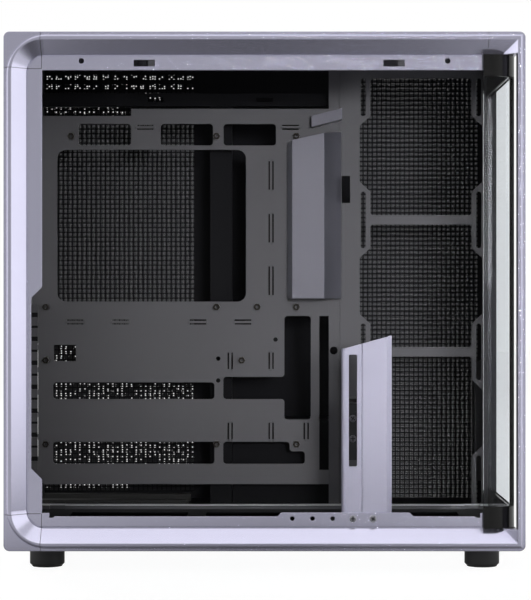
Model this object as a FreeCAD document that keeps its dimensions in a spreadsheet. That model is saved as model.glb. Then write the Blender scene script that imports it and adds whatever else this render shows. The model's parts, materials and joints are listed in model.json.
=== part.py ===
# Mid tower computer case with two chambers, its left side panel taken off.
# Frame: +X is the case front, -Y the open left side, +Z up, origin on the floor under the middle.
import FreeCAD, Part
import os
import re
import Sketcher

os.makedirs("parts", exist_ok=True)
doc = FreeCAD.newDocument("MidTowerCase")

# Driving dimensions, in millimetres
SIZES = {
    # outer body
    "body_length": 430.0,
    "body_width": 285.0,
    "body_height": 428.0,
    "foot_height": 16.0,
    "corner_radius": 5.0,
    "shell_gauge": 2.5,
    "flange_height": 12.0,
    "steel_gauge": 1.2,
    "panel_gauge": 2.0,
    "seat_gap": 0.3,
    # bevelled ring round the left side
    "rim_inset": 2.5,
    "rim_height": 3.0,
    "rim_band": 4.0,
    "rim_corner": 33.0,
    "rim_round": 2.0,
    "bevel_depth": 11.5,
    "lip_gauge": 2.0,
    "lip_width": 12.9,
    "lip_low_width": 9.8,
    "lip_corner": 15.0,
    "lip_cut": 8.1,
    "groove_width": 1.2,
    "groove_depth": 0.8,
    "corner_tab": 6.0,
    "corner_tab_height": 2.8,
    "relief_width": 3.0,
    "relief_depth": 1.2,
    "tab_height": 3.2,
    "tab_length": 106.0,
    "tab_reach": 148.0,
    "notch_depth": 9.0,
    "notch_bottom": 74.5,
    "notch_height": 159.0,
    "panel_hole_inset": 63.4,
    "panel_hole_radius": 2.3,
    "panel_hole_drop": 23.2,
    "latch_offset": 115.5,
    "latch_reach": 107.8,
    "latch_length": 17.8,
    "latch_height": 5.4,
    "latch_drop": 25.1,
    "latch_shift": 3.0,
    "holder_hole_pitch": 16.7,
    "holder_hole_reach": 192.0,
    "holder_hole_radius": 1.9,
    "holder_hole_rise": 25.9,
    # bent front glass
    "glass_gauge": 4.0,
    "glass_return": 28.0,
    "glass_setback": 6.5,
    "glass_bend": 20.0,
    "glass_band": 17.6,
    "band_gauge": 1.2,
    "glue_gap": 0.1,
    "header_depth": 12.0,
    "pad_length": 24.0,
    # chambers and tray
    "back_depth": 105.0,
    "tray_bottom": 55.5,
    "tray_top": 396.7,
    "tray_rear": 211.3,
    "tray_length": 269.6,
    "tray_fold": 10.0,
    "board_column": 198.5,
    "board_row": 371.5,
    "board_pitch": 154.94,
    "board_length": 227.33,
    "board_height": 279.4,
    "board_shift": 22.86,
    "spare_column": 191.7,
    "small_column": 177.8,
    "small_row": 203.2,
    "standoff_height": 6.5,
    "standoff_radius": 3.2,
    "thread_radius": 1.5,
    "cutout_left": 188.5,
    "cutout_right": 16.9,
    "cutout_bottom": 221.4,
    "cutout_height": 138.0,
    "cutout_corner": 8.0,
    "slot_corner": 3.0,
    "upper_slot_bottom": 363.4,
    "upper_slot_height": 19.5,
    "middle_slot_bottom": 132.8,
    "middle_slot_height": 15.2,
    "short_slot_height": 20.2,
    "lower_slot_bottom": 74.0,
    "lower_slot_height": 20.0,
    "tray_step_height": 6.5,
    "tray_step_length": 90.0,
    "upper_slot_length": 47.6,
    "upper_slot_rear": 145.3,
    "upper_slot_middle": 70.8,
    "upper_slot_front": 13.5,
    "wide_slot_rear": 192.3,
    "wide_slot_front": 45.6,
    "short_slot_rear": 37.6,
    "riser_rear": 18.0,
    "riser_front": 42.0,
    "riser_bottom": 114.3,
    "riser_top": 208.4,
    "lower_slot_front": 36.6,
    "lower_slot_step": 13.9,
    "lower_slot_drop": 8.7,
    "port_rear": 191.4,
    "port_length": 19.8,
    "port_bottom": 167.3,
    "port_height": 14.8,
    "gap_slot_width": 8.6,
    "gap_slot_bottom": 68.4,
    "hole_column": 42.2,
    "hole_upper": 169.6,
    "hole_lower": 149.7,
    "hole_front": 9.9,
    "hole_front_level": 186.9,
    "tray_hole_radius": 2.0,
    "tongue_offset": 4.4,
    "tongue_width": 2.0,
    "tongue_length": 15.5,
    "bridge_length": 15.0,
    "bridge_long": 26.0,
    "bridge_row": 202.9,
    "bridge_pair_rear": 172.1,
    "bridge_pair_front": 60.6,
    "bridge_pair_pitch": 40.9,
    "bridge_top_row": 379.9,
    "bridge_top_rear": 108.6,
    "bridge_top_front": 23.5,
    "bridge_column": 5.9,
    "bridge_column_low": 240.4,
    "bridge_column_pitch": 47.9,
    "bridge_short_column": 31.2,
    "bridge_last_column": 37.8,
    "bridge_upper_row": 167.6,
    "bridge_lower_row": 103.8,
    "bridge_width": 4.6,
    "bridge_bar": 2.2,
    "bridge_overlap": 1.5,
    # side fan plate
    "fan_size": 120.0,
    "fan_plate_reach": 156.7,
    "fan_reach": 72.9,
    "fan_middle": 235.7,
    "fan_opening": 111.5,
    "fan_neck": 92.0,
    "fan_waist": 51.0,
    "fan_taper": 9.0,
    "fan_hole_pitch": 105.0,
    "fan_slot_width": 4.7,
    "fan_slot_length": 51.5,
    "fan_slot_stub": 8.8,
    "fan_slot_rise": 4.5,
    "fan_top_margin": 17.0,
    "plate_notch_width": 7.6,
    "plate_notch_height": 24.6,
    "plate_notch_bottom": 311.1,
    "plate_hole_offset": 4.6,
    "plate_hole_height": 176.9,
    "plate_hole_radius": 3.6,
    "seam_offset": 9.8,
    "seam_width": 0.8,
    # rails and inner floor
    "floor_rise": 17.5,
    "floor_rail_height": 4.3,
    "floor_rail_width": 8.0,
    "rail_groove": 0.9,
    "rail_groove_rise": 1.8,
    "rail_notch_length": 14.0,
    "rail_notch_rear": 23.6,
    "rail_notch_front": 14.7,
    "rail_bottom": 401.0,
    "rail_height": 12.0,
    "rail_setback": 22.0,
    "rail_slot_pitch": 100.0,
    "vent_radius": 54.0,
    "vent_slot": 3.2,
    "vent_web": 28.0,
    "fan_margin": 70.0,
    "fan_bar": 16.0,
    "bracket_margin": 14.0,
    # rear wall
    "io_height": 158.8,
    "io_width": 44.5,
    "io_top": 377.0,
    "rear_vent_inset": 57.0,
    "rear_vent_height": 368.0,
    "rear_vent_pitch": 12.0,
    "rear_vent_slot": 8.0,
    "rear_vent_web": 6.0,
    "fan_screw_radius": 2.2,
    "slot_pitch": 20.32,
    "slot_top": 210.3,
    "slot_width": 12.2,
    "slot_length": 100.0,
    "slot_clear": 15.5,
    "cover_width": 18.4,
    "cover_overlap": 6.0,
    "cover_tab": 19.0,
    "cover_gauge": 1.0,
    "supply_width": 86.0,
    "supply_height": 150.0,
    "supply_rise": 6.0,
    "supply_margin": 7.0,
    "supply_rail_offset": 28.7,
    "supply_rail_width": 14.3,
    # cable cover
    "cover_depth": 32.0,
    "cover_reach": 37.5,
    "cover_span": 49.0,
    "cover_rear_slope": 3.8,
    "cover_front_slope": 16.6,
    "cover_bottom": 224.2,
    "cover_top": 365.0,
    "cover_rise": 11.0,
    "cover_foot": 1.44,
    "cap_length": 27.3,
    "cap_bottom": 379.0,
    "cap_height": 10.0,
    "cap_rise": 7.0,
    "cap_depth": 16.0,
    # graphics card holder
    "holder_reach": 150.9,
    "holder_width": 41.5,
    "holder_depth": 16.0,
    "holder_wall": 2.5,
    "holder_front_wall": 3.0,
    "holder_round": 4.0,
    "holder_groove": 15.2,
    "holder_groove_width": 1.8,
    "holder_groove_depth": 2.2,
    "holder_bevel": 4.0,
    "holder_height": 157.0,
    "holder_slope": 11.5,
    "arm_slot_offset": 9.2,
    "arm_slot_width": 6.8,
    "arm_slot_bottom": 84.8,
    "arm_slot_height": 92.8,
    "arm_slot_corner": 1.1,
    "arm_width": 11.0,
    "arm_gauge": 3.0,
    "arm_bottom": 90.0,
    "arm_height": 47.0,
    "arm_reach": 62.0,
    "arm_shelf_width": 32.0,
    "arm_pad_height": 3.0,
    "arm_screw_low": 107.8,
    "arm_screw_pitch": 16.8,
    "screw_head_radius": 2.9,
    "screw_head_height": 1.8,
    "screw_shank_radius": 1.45,
    # feet
    "foot_radius": 14.5,
    "foot_inset": 32.7,
    "foot_inset_side": 36.0,
    "foot_pad_height": 1.0,
    "foot_pad_radius": 12.5,
    "foot_edge": 1.5,
    # perforated fields of the right panel
    "field_rear_margin": 4.0,
    "field_rear_width": 144.0,
    "field_front_margin": 10.0,
    "field_front_width": 115.0,
    "field_bottom": 40.0,
    "field_front_bottom": 24.0,
    "field_top": 441.0,
    "field_web": 5.0,
    # back chamber fittings
    "drive_rear": 50.0,
    "drive_width": 20.0,
    "drive_fold": 12.0,
    "front_return": 11.0,
    "cage_length": 110.0,
    "cage_height": 78.0,
    "cage_width": 70.0,
    "cage_bay": 30.0,
    # front sockets and power button
    "io_side": 40.0,
    "io_centre": 110.0,
    "io_module_height": 112.0,
    "io_module_width": 24.0,
    "io_module_depth": 14.0,
    "button_radius": 7.0,
    "button_rise": 2.0,
    "button_travel": 1.5,
    "button_stem": 3.0,
    "button_flange": 1.6,
    "button_flange_gauge": 1.8,
    "button_gap": 0.4,
    "button_offset": 40.0,
    "usb_width": 6.4,
    "usb_height": 13.6,
    "usb_pitch": 22.0,
    "usb_c_width": 3.6,
    "usb_c_height": 9.4,
    "jack_radius": 3.2,
    "jack_drop": 49.5,
    "socket_depth": 10.0,
}

sheet = doc.addObject("Spreadsheet::Sheet", "Sizes")
for row, (alias, size) in enumerate(SIZES.items(), 1):
    sheet.set(f"A{row}", alias)
    sheet.set(f"B{row}", str(size))
    sheet.setAlias(f"B{row}", alias)
doc.recompute()

# Places that several pieces share, as expressions of the driving dimensions
REAR = "(-body_length / 2)"
FRONT = "(body_length / 2)"
LEFT = "(-body_width / 2)"
RIGHT = "(body_width / 2)"
LOW = "foot_height"
HIGH = "(foot_height + body_height)"
BEVEL = "(rim_inset + rim_band + bevel_depth)"
LIP_BACK = f"({LEFT} + bevel_depth + lip_gauge)"
PANEL_FACE = f"({RIGHT} - panel_gauge)"
INNER_LOW = f"({LOW} + shell_gauge)"
INNER_HIGH = f"({HIGH} - shell_gauge)"
REAR_FACE = f"({REAR} + shell_gauge)"
REAR_INNER = f"({REAR} + shell_gauge + steel_gauge)"
FRONT_INNER = f"({FRONT} - 2 * shell_gauge)"
TRAY_FACE = f"({RIGHT} - back_depth)"
TRAY_BACK = f"({TRAY_FACE} + steel_gauge)"
TRAY_FRONT = f"({FRONT} - fan_plate_reach)"
TRAY_SHARE = f"(({TRAY_FRONT} - {REAR_INNER}) / tray_length)"
FLOOR_TOP = f"({LOW} + floor_rise)"
GLASS_OUTER = f"({LEFT} + glass_setback)"
GLASS_FRONT = f"({FRONT} - rim_inset - rim_band)"
GLASS_LOW = f"({LOW} + {BEVEL} + seat_gap)"
GLASS_HIGH = f"({HIGH} - {BEVEL} - seat_gap)"
BAND_BACK = f"({GLASS_FRONT} - seat_gap - glass_gauge - glue_gap - band_gauge)"
FAN_PLATE_FRONT = f"({GLASS_FRONT} - glass_gauge - band_gauge - 2 * glue_gap)"
FAN_CENTRE = f"({FRONT} - fan_reach)"
FAN_BAY = "((body_length - fan_margin) / 3)"
FAN_MID = f"(({LIP_BACK} + {TRAY_FACE}) / 2)"
SUPPLY_MID = f"(({TRAY_BACK} + {PANEL_FACE}) / 2)"
IO_Y = f"({PANEL_FACE} - io_side)"
HOLDER_HOLE_Z = f"({LOW} + holder_hole_rise)"
HOLDER_REAR = f"({FRONT} - holder_reach)"
HOLDER_FRONT = f"({HOLDER_REAR} + holder_width)"
HOLDER_INNER = f"({LIP_BACK} + holder_front_wall)"
ARM_FACE = f"({HOLDER_INNER} + seat_gap)"
ARM_X = f"({HOLDER_REAR} + arm_slot_offset)"
ARM_TOP = "(arm_bottom + arm_height)"
SHELF_FRONT = f"({ARM_X} - arm_width / 2 + arm_shelf_width)"
SLOT_INNER = f"({TRAY_FACE} - slot_clear)"
TAB_FACE = f"({SLOT_INNER} - slot_length - 2 * cover_overlap)"
VENT_Y = f"({LIP_BACK} + rear_vent_inset)"
COVER_REAR = f"({TRAY_FRONT} - cover_reach)"
COVER_FRONT = f"({COVER_REAR} + cover_span)"
CAP_REAR = f"({COVER_FRONT} - cap_length)"
COVER_FACE = f"({TRAY_FACE} - cover_depth)"
LATCHES = {"latch_rear": f"({REAR} + latch_offset)", "latch_front": f"({FRONT} - latch_reach)"}
BUTTON_Z = "(io_centre + button_offset)"
USB_LEVELS = ("(io_centre + usb_pitch / 2)", "(io_centre - usb_pitch / 2)")
USB_C_Z = "(io_centre - usb_pitch * 3 / 2)"
JACK_Z = "(io_centre - jack_drop)"
SOCKETS = [(level, "usb_width", "usb_height") for level in USB_LEVELS]
SOCKETS.append((USB_C_Z, "usb_c_width", "usb_c_height"))
SOCKET_BACK = f"({FRONT} - shell_gauge - socket_depth)"
BUTTON_SEAT = f"({FRONT_INNER} - seat_gap - button_flange_gauge)"

PLANES = {"XZ_Plane": (0, 2), "XY_Plane": (0, 1), "YZ_Plane": (1, 2)}
FUNCTIONS = ("sqrt",)
TOLERANCE = 1e-4
SIDES = ("-", "")

# How many of each the case has
HOLDER_HOLES = 5
HOLDER_SCREWED = (3, 4)
FANS = (-1, 0, 1)
SHELL_VENT_ROWS = 10
REAR_VENT_ROWS = 9
EXPANSION_SLOTS = 7
FIELD_COLUMNS = 3
FIELD_ROWS = 8
CAGE_BAYS = 2
HEXAGON = 6


# Expressions and their values
def bound(text):
    def prefixed(word):
        return word.group(0) if word.group(0) in FUNCTIONS else "Sizes." + word.group(0)
    return re.sub(r"[a-z_]+", prefixed, text)


def number(text):
    return float(sheet.evalExpression(bound(text)))


def step(low, high, count, index):
    return f"({low} + (({high}) - ({low})) * {index} / {count})"


def about(middle, size):
    return (f"({middle}) - ({size}) / 2", f"({middle}) + ({size}) / 2")


def on_tray(x):
    return f"({REAR_INNER} + (tray_rear + ({x})) * {TRAY_SHARE})"


# Sketches whose lines are held by expressions, added together when a feature takes the sketch
WAITING = {}


def sketch_on(body, role, level):
    plane = next(item for item in body.Origin.OriginFeatures if item.Role == role)
    sketch = body.newObject("Sketcher::SketchObject", body.Name + "_sketch")
    sketch.AttachmentSupport = (plane, [""])
    sketch.MapMode = "FlatFace"
    sign = "-" if role == "XZ_Plane" else ""
    sketch.setExpression("AttachmentOffset.Base.z", bound(f"{sign}({level})"))
    return sketch


def hold(sketch, plain, sized):
    pending = WAITING.setdefault(sketch.Name, ([], []))
    pending[0].extend(plain)
    pending[1].extend(sized)


def settle(sketch):
    plain, sized = WAITING.pop(sketch.Name)
    constraints = [Sketcher.Constraint(*item) for item in plain]
    constraints += [Sketcher.Constraint(*item, number(text)) for item, text in sized]
    sketch.addConstraint(constraints)
    for index, (item, text) in enumerate(sized, len(plain)):
        sketch.setExpression(f"Constraints[{index}]", bound(text))


def draw_loop(sketch, points):
    corners = [FreeCAD.Vector(number(u), number(v), 0) for u, v in points]
    ends = corners[1:] + corners[:1]
    ids = sketch.addGeometry([Part.LineSegment(a, b) for a, b in zip(corners, ends)], False)
    joins = [("Coincident", a, 2, b, 1) for a, b in zip(ids, ids[1:] + ids[:1])]
    return corners, ids, joins


def polygon(sketch, points):
    corners, ids, joins = draw_loop(sketch, points)
    sized = []
    for line, (u, v) in zip(ids, points):
        sized.append((("DistanceX", -1, 1, line, 1), u))
        sized.append((("DistanceY", -1, 1, line, 1), v))
    hold(sketch, joins, sized)
    return [(corner.x, corner.y) for corner in corners]


def rect(sketch, across, up):
    points = [(across[0], up[0]), (across[1], up[0]), (across[1], up[1]), (across[0], up[1])]
    corners, ids, joins = draw_loop(sketch, points)
    level = [("Horizontal", ids[0]), ("Horizontal", ids[2]), ("Vertical", ids[1]), ("Vertical", ids[3])]
    sized = [
        (("DistanceX", -1, 1, ids[0], 1), across[0]),
        (("DistanceY", -1, 1, ids[0], 1), up[0]),
        (("DistanceX", -1, 1, ids[2], 1), across[1]),
        (("DistanceY", -1, 1, ids[2], 1), up[1]),
    ]
    hold(sketch, joins + level, sized)
    return [(corner.x, corner.y) for corner in corners]


def circle(sketch, u, v, radius):
    centre = FreeCAD.Vector(number(u), number(v), 0)
    ring = sketch.addGeometry(Part.Circle(centre, FreeCAD.Vector(0, 0, 1), number(radius)), False)
    sized = [
        (("DistanceX", -1, 1, ring, 3), u),
        (("DistanceY", -1, 1, ring, 3), v),
        (("Radius", ring), radius),
    ]
    hold(sketch, [], sized)


# Features of a body
def new_body(label):
    body = doc.addObject("PartDesign::Body", label)
    body.Label = label
    return body


def pad(body, sketch, length):
    settle(sketch)
    feature = body.newObject("PartDesign::Pad", body.Name + "_pad")
    feature.Profile = sketch
    feature.setExpression("Length", bound(length))
    doc.recompute([body])


def pocket(body, sketch, length=None):
    settle(sketch)
    before = body.Shape.Volume
    feature = body.newObject("PartDesign::Pocket", body.Name + "_pocket")
    feature.Profile = sketch
    if length:
        feature.setExpression("Length", bound(length))
    else:
        feature.Type = "ThroughAll"
    doc.recompute([body])
    if not body.Shape.Volume < before - TOLERANCE:
        raise ValueError(f"{body.Label}: a pocket cuts nothing")


def edges_at(shape, role, spots):
    a, b = PLANES[role]
    found = []
    for index, edge in enumerate(shape.Edges, 1):
        first, last = edge.Vertexes[0].Point, edge.Vertexes[-1].Point
        if abs(first[a] - last[a]) > TOLERANCE or abs(first[b] - last[b]) > TOLERANCE:
            continue
        if any(abs(first[a] - u) < TOLERANCE and abs(first[b] - v) < TOLERANCE for u, v in spots):
            found.append(f"Edge{index}")
    return found


def dress(body, kind, size_name, size, edges):
    base = body.Tip
    feature = body.newObject("PartDesign::" + kind, body.Name + "_" + kind.lower())
    feature.Base = (base, edges)
    feature.setExpression(size_name, bound(size))
    doc.recompute([body])


def round_at(body, role, radius, spots):
    dress(body, "Fillet", "Radius", radius, edges_at(body.Tip.Shape, role, spots))


# Primitives placed by expressions
def box(name, x, y, z):
    item = doc.addObject("Part::Box", name)
    for axis, side, (low, high) in zip("xyz", ("Length", "Width", "Height"), (x, y, z)):
        item.setExpression(f"Placement.Base.{axis}", bound(low))
        item.setExpression(side, bound(f"({high}) - ({low})"))
    return item


TURNS = {
    "x": FreeCAD.Rotation(FreeCAD.Vector(0, 1, 0), 90),
    "y": FreeCAD.Rotation(FreeCAD.Vector(1, 0, 0), -90),
    "z": FreeCAD.Rotation(),
}


def place(item, axis, start):
    item.Placement = FreeCAD.Placement(FreeCAD.Vector(), TURNS[axis])
    for letter, text in zip("xyz", start):
        item.setExpression(f"Placement.Base.{letter}", bound(text))
    return item


def rod(name, axis, start, radius, length):
    item = doc.addObject("Part::Cylinder", name)
    item.setExpression("Radius", bound(radius))
    item.setExpression("Height", bound(length))
    return place(item, axis, start)


def join(name, items):
    item = doc.addObject("Part::MultiFuse", name)
    item.Shapes = items
    return item


def cut(name, base, tools):
    item = doc.addObject("Part::Cut", name)
    item.Base = base
    item.Tool = tools[0] if len(tools) == 1 else join(name + "_tools", tools)
    return item


def group(name, items):
    item = doc.addObject("Part::Compound", name)
    item.Links = items
    return item


PIECES = []


def piece(item):
    PIECES.append(item)


# Ring of the open left side: square base, raised rim with round rear corners, bevel down to a lip
def side_frame():
    body = new_body("side_frame")
    role = "XZ_Plane"
    base = sketch_on(body, role, LIP_BACK)
    corners = rect(base, (REAR, FRONT), (LOW, HIGH))
    pad(body, base, f"{LIP_BACK} - {LEFT} - rim_height")
    round_at(body, role, "corner_radius", corners)
    rim = sketch_on(body, role, f"{LEFT} + rim_height")
    corners = rect(
        rim,
        (f"{REAR} + rim_inset", f"{FRONT} - rim_inset"),
        (f"{LOW} + rim_inset", f"{HIGH} - rim_inset"),
    )
    pad(body, rim, "rim_height")
    round_at(body, role, "rim_corner", [corners[0], corners[3]])
    dress(body, "Fillet", "Radius", "rim_round", face_edges(body, number(REAR), number(FRONT)))
    frame_recess(body, role)
    frame_window(body, role)
    frame_holes(body, role)
    piece(body)


def frame_recess(body, role):
    recess = sketch_on(body, role, LEFT)
    corners = rect(
        recess,
        (f"{REAR} + {BEVEL}", f"{FRONT} - {BEVEL}"),
        (f"{LOW} + {BEVEL}", f"{HIGH} - {BEVEL}"),
    )
    pocket(body, recess, "bevel_depth + groove_depth")
    round_at(body, role, "lip_corner", [corners[0], corners[3]])
    mouth = face_edges(body, corners[0][0], corners[1][0])
    dress(body, "Chamfer", "Size", "bevel_depth - glue_gap", mouth)
    frame_lip(body, role)


# A narrow groove stays open between the foot of the bevel and the lip
def frame_lip(body, role):
    inset = f"({BEVEL} + groove_width)"
    rear, front = f"({REAR} + {inset})", f"({FRONT} - {inset})"
    low, high = f"({LOW} + {inset})", f"({HIGH} - {inset})"
    lip = sketch_on(body, role, f"{LEFT} + bevel_depth + groove_depth")
    polygon(lip, [
        (f"{rear} + lip_cut", low),
        (front, low),
        (front, high),
        (f"{rear} + lip_cut", high),
        (rear, f"{high} - lip_cut"),
        (rear, f"{low} + lip_cut"),
    ])
    pad(body, lip, "groove_depth")


def face_edges(body, rear, front):
    found = []
    for index, edge in enumerate(body.Tip.Shape.Edges, 1):
        bounds = edge.BoundBox
        on_face = bounds.YMax < number(LEFT) + TOLERANCE
        if on_face and bounds.XMin > rear - TOLERANCE and bounds.XMax < front + TOLERANCE:
            found.append(f"Edge{index}")
    return found


def frame_window(body, role):
    low = f"({LOW} + {BEVEL} + lip_low_width)"
    rear = f"({REAR} + {BEVEL} + lip_width)"
    high = f"({HIGH} - {BEVEL} - lip_width)"
    seat_rear = f"({GLASS_FRONT} - glass_return)"
    tab_rear, tab_front = about(f"{FRONT} - tab_reach", "tab_length")
    notch_top = "(notch_bottom + notch_height)"
    window = sketch_on(body, role, LEFT)
    relief = f"({low} - relief_depth)"
    corner_top = f"({low} + corner_tab_height)"
    rear_tab = f"({rear} + corner_tab)"
    front_tab = f"({seat_rear} - corner_tab / 3)"
    polygon(window, [
        (rear, corner_top),
        (rear_tab, corner_top),
        (rear_tab, relief),
        (f"{rear_tab} + relief_width", relief),
        (f"{rear_tab} + relief_width + relief_depth", low),
        (f"{tab_rear} - tab_height", low),
        (tab_rear, f"{low} + tab_height"),
        (tab_front, f"{low} + tab_height"),
        (f"{tab_front} + tab_height", low),
        (f"{front_tab} - relief_width - relief_depth", low),
        (f"{front_tab} - relief_width", relief),
        (front_tab, relief),
        (front_tab, corner_top),
        (seat_rear, corner_top),
        (seat_rear, high),
        (rear, high),
        (rear, notch_top),
        (f"{rear} - notch_depth", f"{notch_top} - notch_depth"),
        (f"{rear} - notch_depth", "notch_bottom + notch_depth"),
        (rear, "notch_bottom"),
    ])
    pocket(body, window)
    seat = sketch_on(body, role, LEFT)
    rect(seat, (seat_rear, GLASS_FRONT), (f"{LOW} + {BEVEL}", f"{HIGH} - {BEVEL}"))
    pocket(body, seat)


def holder_hole(index):
    return f"({FRONT} - holder_hole_reach + {index} * holder_hole_pitch)"


def frame_holes(body, role):
    holes = sketch_on(body, role, LEFT)
    for middle in (f"{REAR} + panel_hole_inset", f"{FRONT} - panel_hole_inset"):
        circle(holes, middle, f"{HIGH} - panel_hole_drop", "panel_hole_radius")
    for middle in LATCHES.values():
        rect(holes, about(middle, "latch_length"), about(f"{HIGH} - latch_drop", "latch_height"))
    for index in range(HOLDER_HOLES):
        circle(holes, holder_hole(index), HOLDER_HOLE_Z, "holder_hole_radius")
    pocket(body, holes)


# Catches of the side panel, seated behind the slots of the lip
def panel_latches():
    catches = []
    for name, middle in LATCHES.items():
        catches.append(box(
            name,
            (f"{middle} + latch_shift", f"{middle} + latch_length"),
            (LIP_BACK, f"{LIP_BACK} + steel_gauge"),
            about(f"{HIGH} - latch_drop", "2 * latch_height"),
        ))
    piece(group("panel_latches", catches))


# Top and bottom plates with turned edges at front and rear, and slots above and below the fans
def shell(label, outer, turn, vent_level):
    body = new_body(label)
    role = "XZ_Plane"
    profile = sketch_on(body, role, PANEL_FACE)
    plate = f"{outer} {turn} shell_gauge"
    edge = f"{outer} {turn} flange_height"
    corners = polygon(profile, [
        (REAR, outer),
        (FRONT, outer),
        (FRONT, edge),
        (f"{FRONT} - shell_gauge", edge),
        (f"{FRONT} - shell_gauge", plate),
        (f"{REAR} + shell_gauge", plate),
        (f"{REAR} + shell_gauge", edge),
        (REAR, edge),
    ])
    pad(body, profile, f"{PANEL_FACE} - {LIP_BACK}")
    round_at(body, role, "corner_radius", corners[:2])
    near, far = about(FAN_MID, "fan_neck")
    for fan in FANS:
        vents = sketch_on(body, "XY_Plane", vent_level)
        for row in range(SHELL_VENT_ROWS):
            middle = step(near, far, SHELL_VENT_ROWS - 1, row)
            rect(vents, about(f"{fan} * {FAN_BAY}", f"{FAN_BAY} - vent_web"), about(middle, "vent_slot"))
        pocket(body, vents)
    piece(body)


# Rear wall with board, fan, expansion slot and power supply cut-outs
def rear_panel():
    body = new_body("rear_panel")
    role = "YZ_Plane"
    wall = sketch_on(body, role, REAR_FACE)
    rect(wall, (LIP_BACK, PANEL_FACE), (INNER_LOW, INNER_HIGH))
    pad(body, wall, "steel_gauge")
    windows = sketch_on(body, role, REAR_INNER)
    board = f"({TRAY_FACE} - standoff_height)"
    corners = rect(windows, (f"{board} - io_width", board), ("io_top - io_height", "io_top"))
    supply_low = f"({FLOOR_TOP} + supply_rise)"
    corners += rect(
        windows,
        about(SUPPLY_MID, "supply_width - supply_margin"),
        (f"{supply_low} + supply_margin", f"{supply_low} + supply_height - supply_margin"),
    )
    for index in range(EXPANSION_SLOTS):
        rect(windows, (f"{SLOT_INNER} - slot_length", SLOT_INNER), about(slot_level(index), "slot_width"))
    pocket(body, windows)
    round_at(body, role, "slot_corner", corners)
    vent = sketch_on(body, role, REAR_INNER)
    for row in range(REAR_VENT_ROWS):
        rise = f"({row - REAR_VENT_ROWS // 2} * rear_vent_pitch)"
        chord = f"sqrt(vent_radius * vent_radius - {rise} * {rise})"
        level = about(f"rear_vent_height + {rise}", "rear_vent_slot")
        rect(vent, (f"{VENT_Y} - {chord}", f"{VENT_Y} - rear_vent_web / 2"), level)
        rect(vent, (f"{VENT_Y} + rear_vent_web / 2", f"{VENT_Y} + {chord}"), level)
    for across in SIDES:
        for up in SIDES:
            circle(
                vent,
                f"{VENT_Y} + {across}fan_hole_pitch / 2",
                f"rear_vent_height + {up}fan_hole_pitch / 2",
                "fan_screw_radius",
            )
    pocket(body, vent)
    piece(body)


def slot_level(index):
    return f"(slot_top - {index} * slot_pitch)"


# Angled covers of the expansion slots, the shelf that their tabs lie on, and their screws
def slot_cover(index):
    body = new_body(f"slot_cover_{index + 1}")
    low, high = about(slot_level(index), "cover_width")
    profile = sketch_on(body, "XY_Plane", low)
    polygon(profile, [
        (REAR_INNER, TAB_FACE),
        (f"{REAR_INNER} + cover_tab", TAB_FACE),
        (f"{REAR_INNER} + cover_tab", f"{TAB_FACE} + cover_gauge"),
        (f"{REAR_INNER} + cover_gauge", f"{TAB_FACE} + cover_gauge"),
        (f"{REAR_INNER} + cover_gauge", f"{SLOT_INNER} + cover_overlap"),
        (REAR_INNER, f"{SLOT_INNER} + cover_overlap"),
    ])
    pad(body, profile, "cover_width")
    notch = sketch_on(body, "XZ_Plane", TAB_FACE)
    notch_rear = f"{REAR_INNER} + cover_tab / 2 - holder_hole_radius"
    tab_end = f"{REAR_INNER} + cover_tab + seat_gap"
    rect(notch, (notch_rear, tab_end), about(slot_level(index), "2 * holder_hole_radius"))
    pocket(body, notch, "cover_gauge")
    piece(body)


def slot_shelf():
    shelf = box(
        "slot_shelf_plate",
        (f"{REAR_INNER} + cover_gauge", f"{REAR_INNER} + cover_tab"),
        (f"{TAB_FACE} + cover_gauge", f"{TAB_FACE} + cover_gauge + steel_gauge"),
        (f"{slot_level(EXPANSION_SLOTS - 1)} - cover_width / 2", f"{slot_level(0)} + cover_width / 2"),
    )
    holes = []
    screws = []
    for index in range(EXPANSION_SLOTS):
        start = (f"{REAR_INNER} + cover_tab / 2", f"{TAB_FACE} + cover_gauge", slot_level(index))
        holes.append(rod(f"shelf_hole_{index + 1}", "y", start, "holder_hole_radius", "steel_gauge"))
        seat = (start[0], TAB_FACE, start[2])
        screws.append(screw(f"slot_screw_{index + 1}", seat, "cover_gauge + steel_gauge"))
    piece(cut("slot_shelf", shelf, holes))
    piece(group("slot_screws", screws))


def screw(name, seat, grip):
    x, y, z = seat
    top = (x, f"{y} - screw_head_height", z)
    head = rod(name + "_head", "y", top, "screw_head_radius", "screw_head_height")
    shank = rod(name + "_shank", "y", seat, "screw_shank_radius", grip)
    return join(name, [head, shank])


# Right side panel with two perforated fields
def right_panel():
    body = new_body("right_panel")
    role = "XZ_Plane"
    plate = sketch_on(body, role, RIGHT)
    corners = rect(plate, (REAR, FRONT), (LOW, HIGH))
    pad(body, plate, "panel_gauge")
    round_at(body, role, "corner_radius", corners)
    rear_start = f"({REAR} + field_rear_margin)"
    front_end = f"({FRONT} - field_front_margin)"
    fields = [
        (rear_start, f"({rear_start} + field_rear_width)", "field_bottom"),
        (f"({front_end} - field_front_width)", front_end, "field_front_bottom"),
    ]
    for start, end, bottom in fields:
        for column in range(FIELD_COLUMNS):
            windows = sketch_on(body, role, PANEL_FACE)
            left = step(start, end, FIELD_COLUMNS, column)
            right = step(start, end, FIELD_COLUMNS, column + 1)
            for row in range(FIELD_ROWS):
                low = step(bottom, "field_top", FIELD_ROWS, row)
                high = step(bottom, "field_top", FIELD_ROWS, row + 1)
                rect(
                    windows,
                    (f"{left} + field_web / 2", f"{right} - field_web / 2"),
                    (f"{low} + field_web / 2", f"{high} - field_web / 2"),
                )
            pocket(body, windows)
    piece(body)


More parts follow.
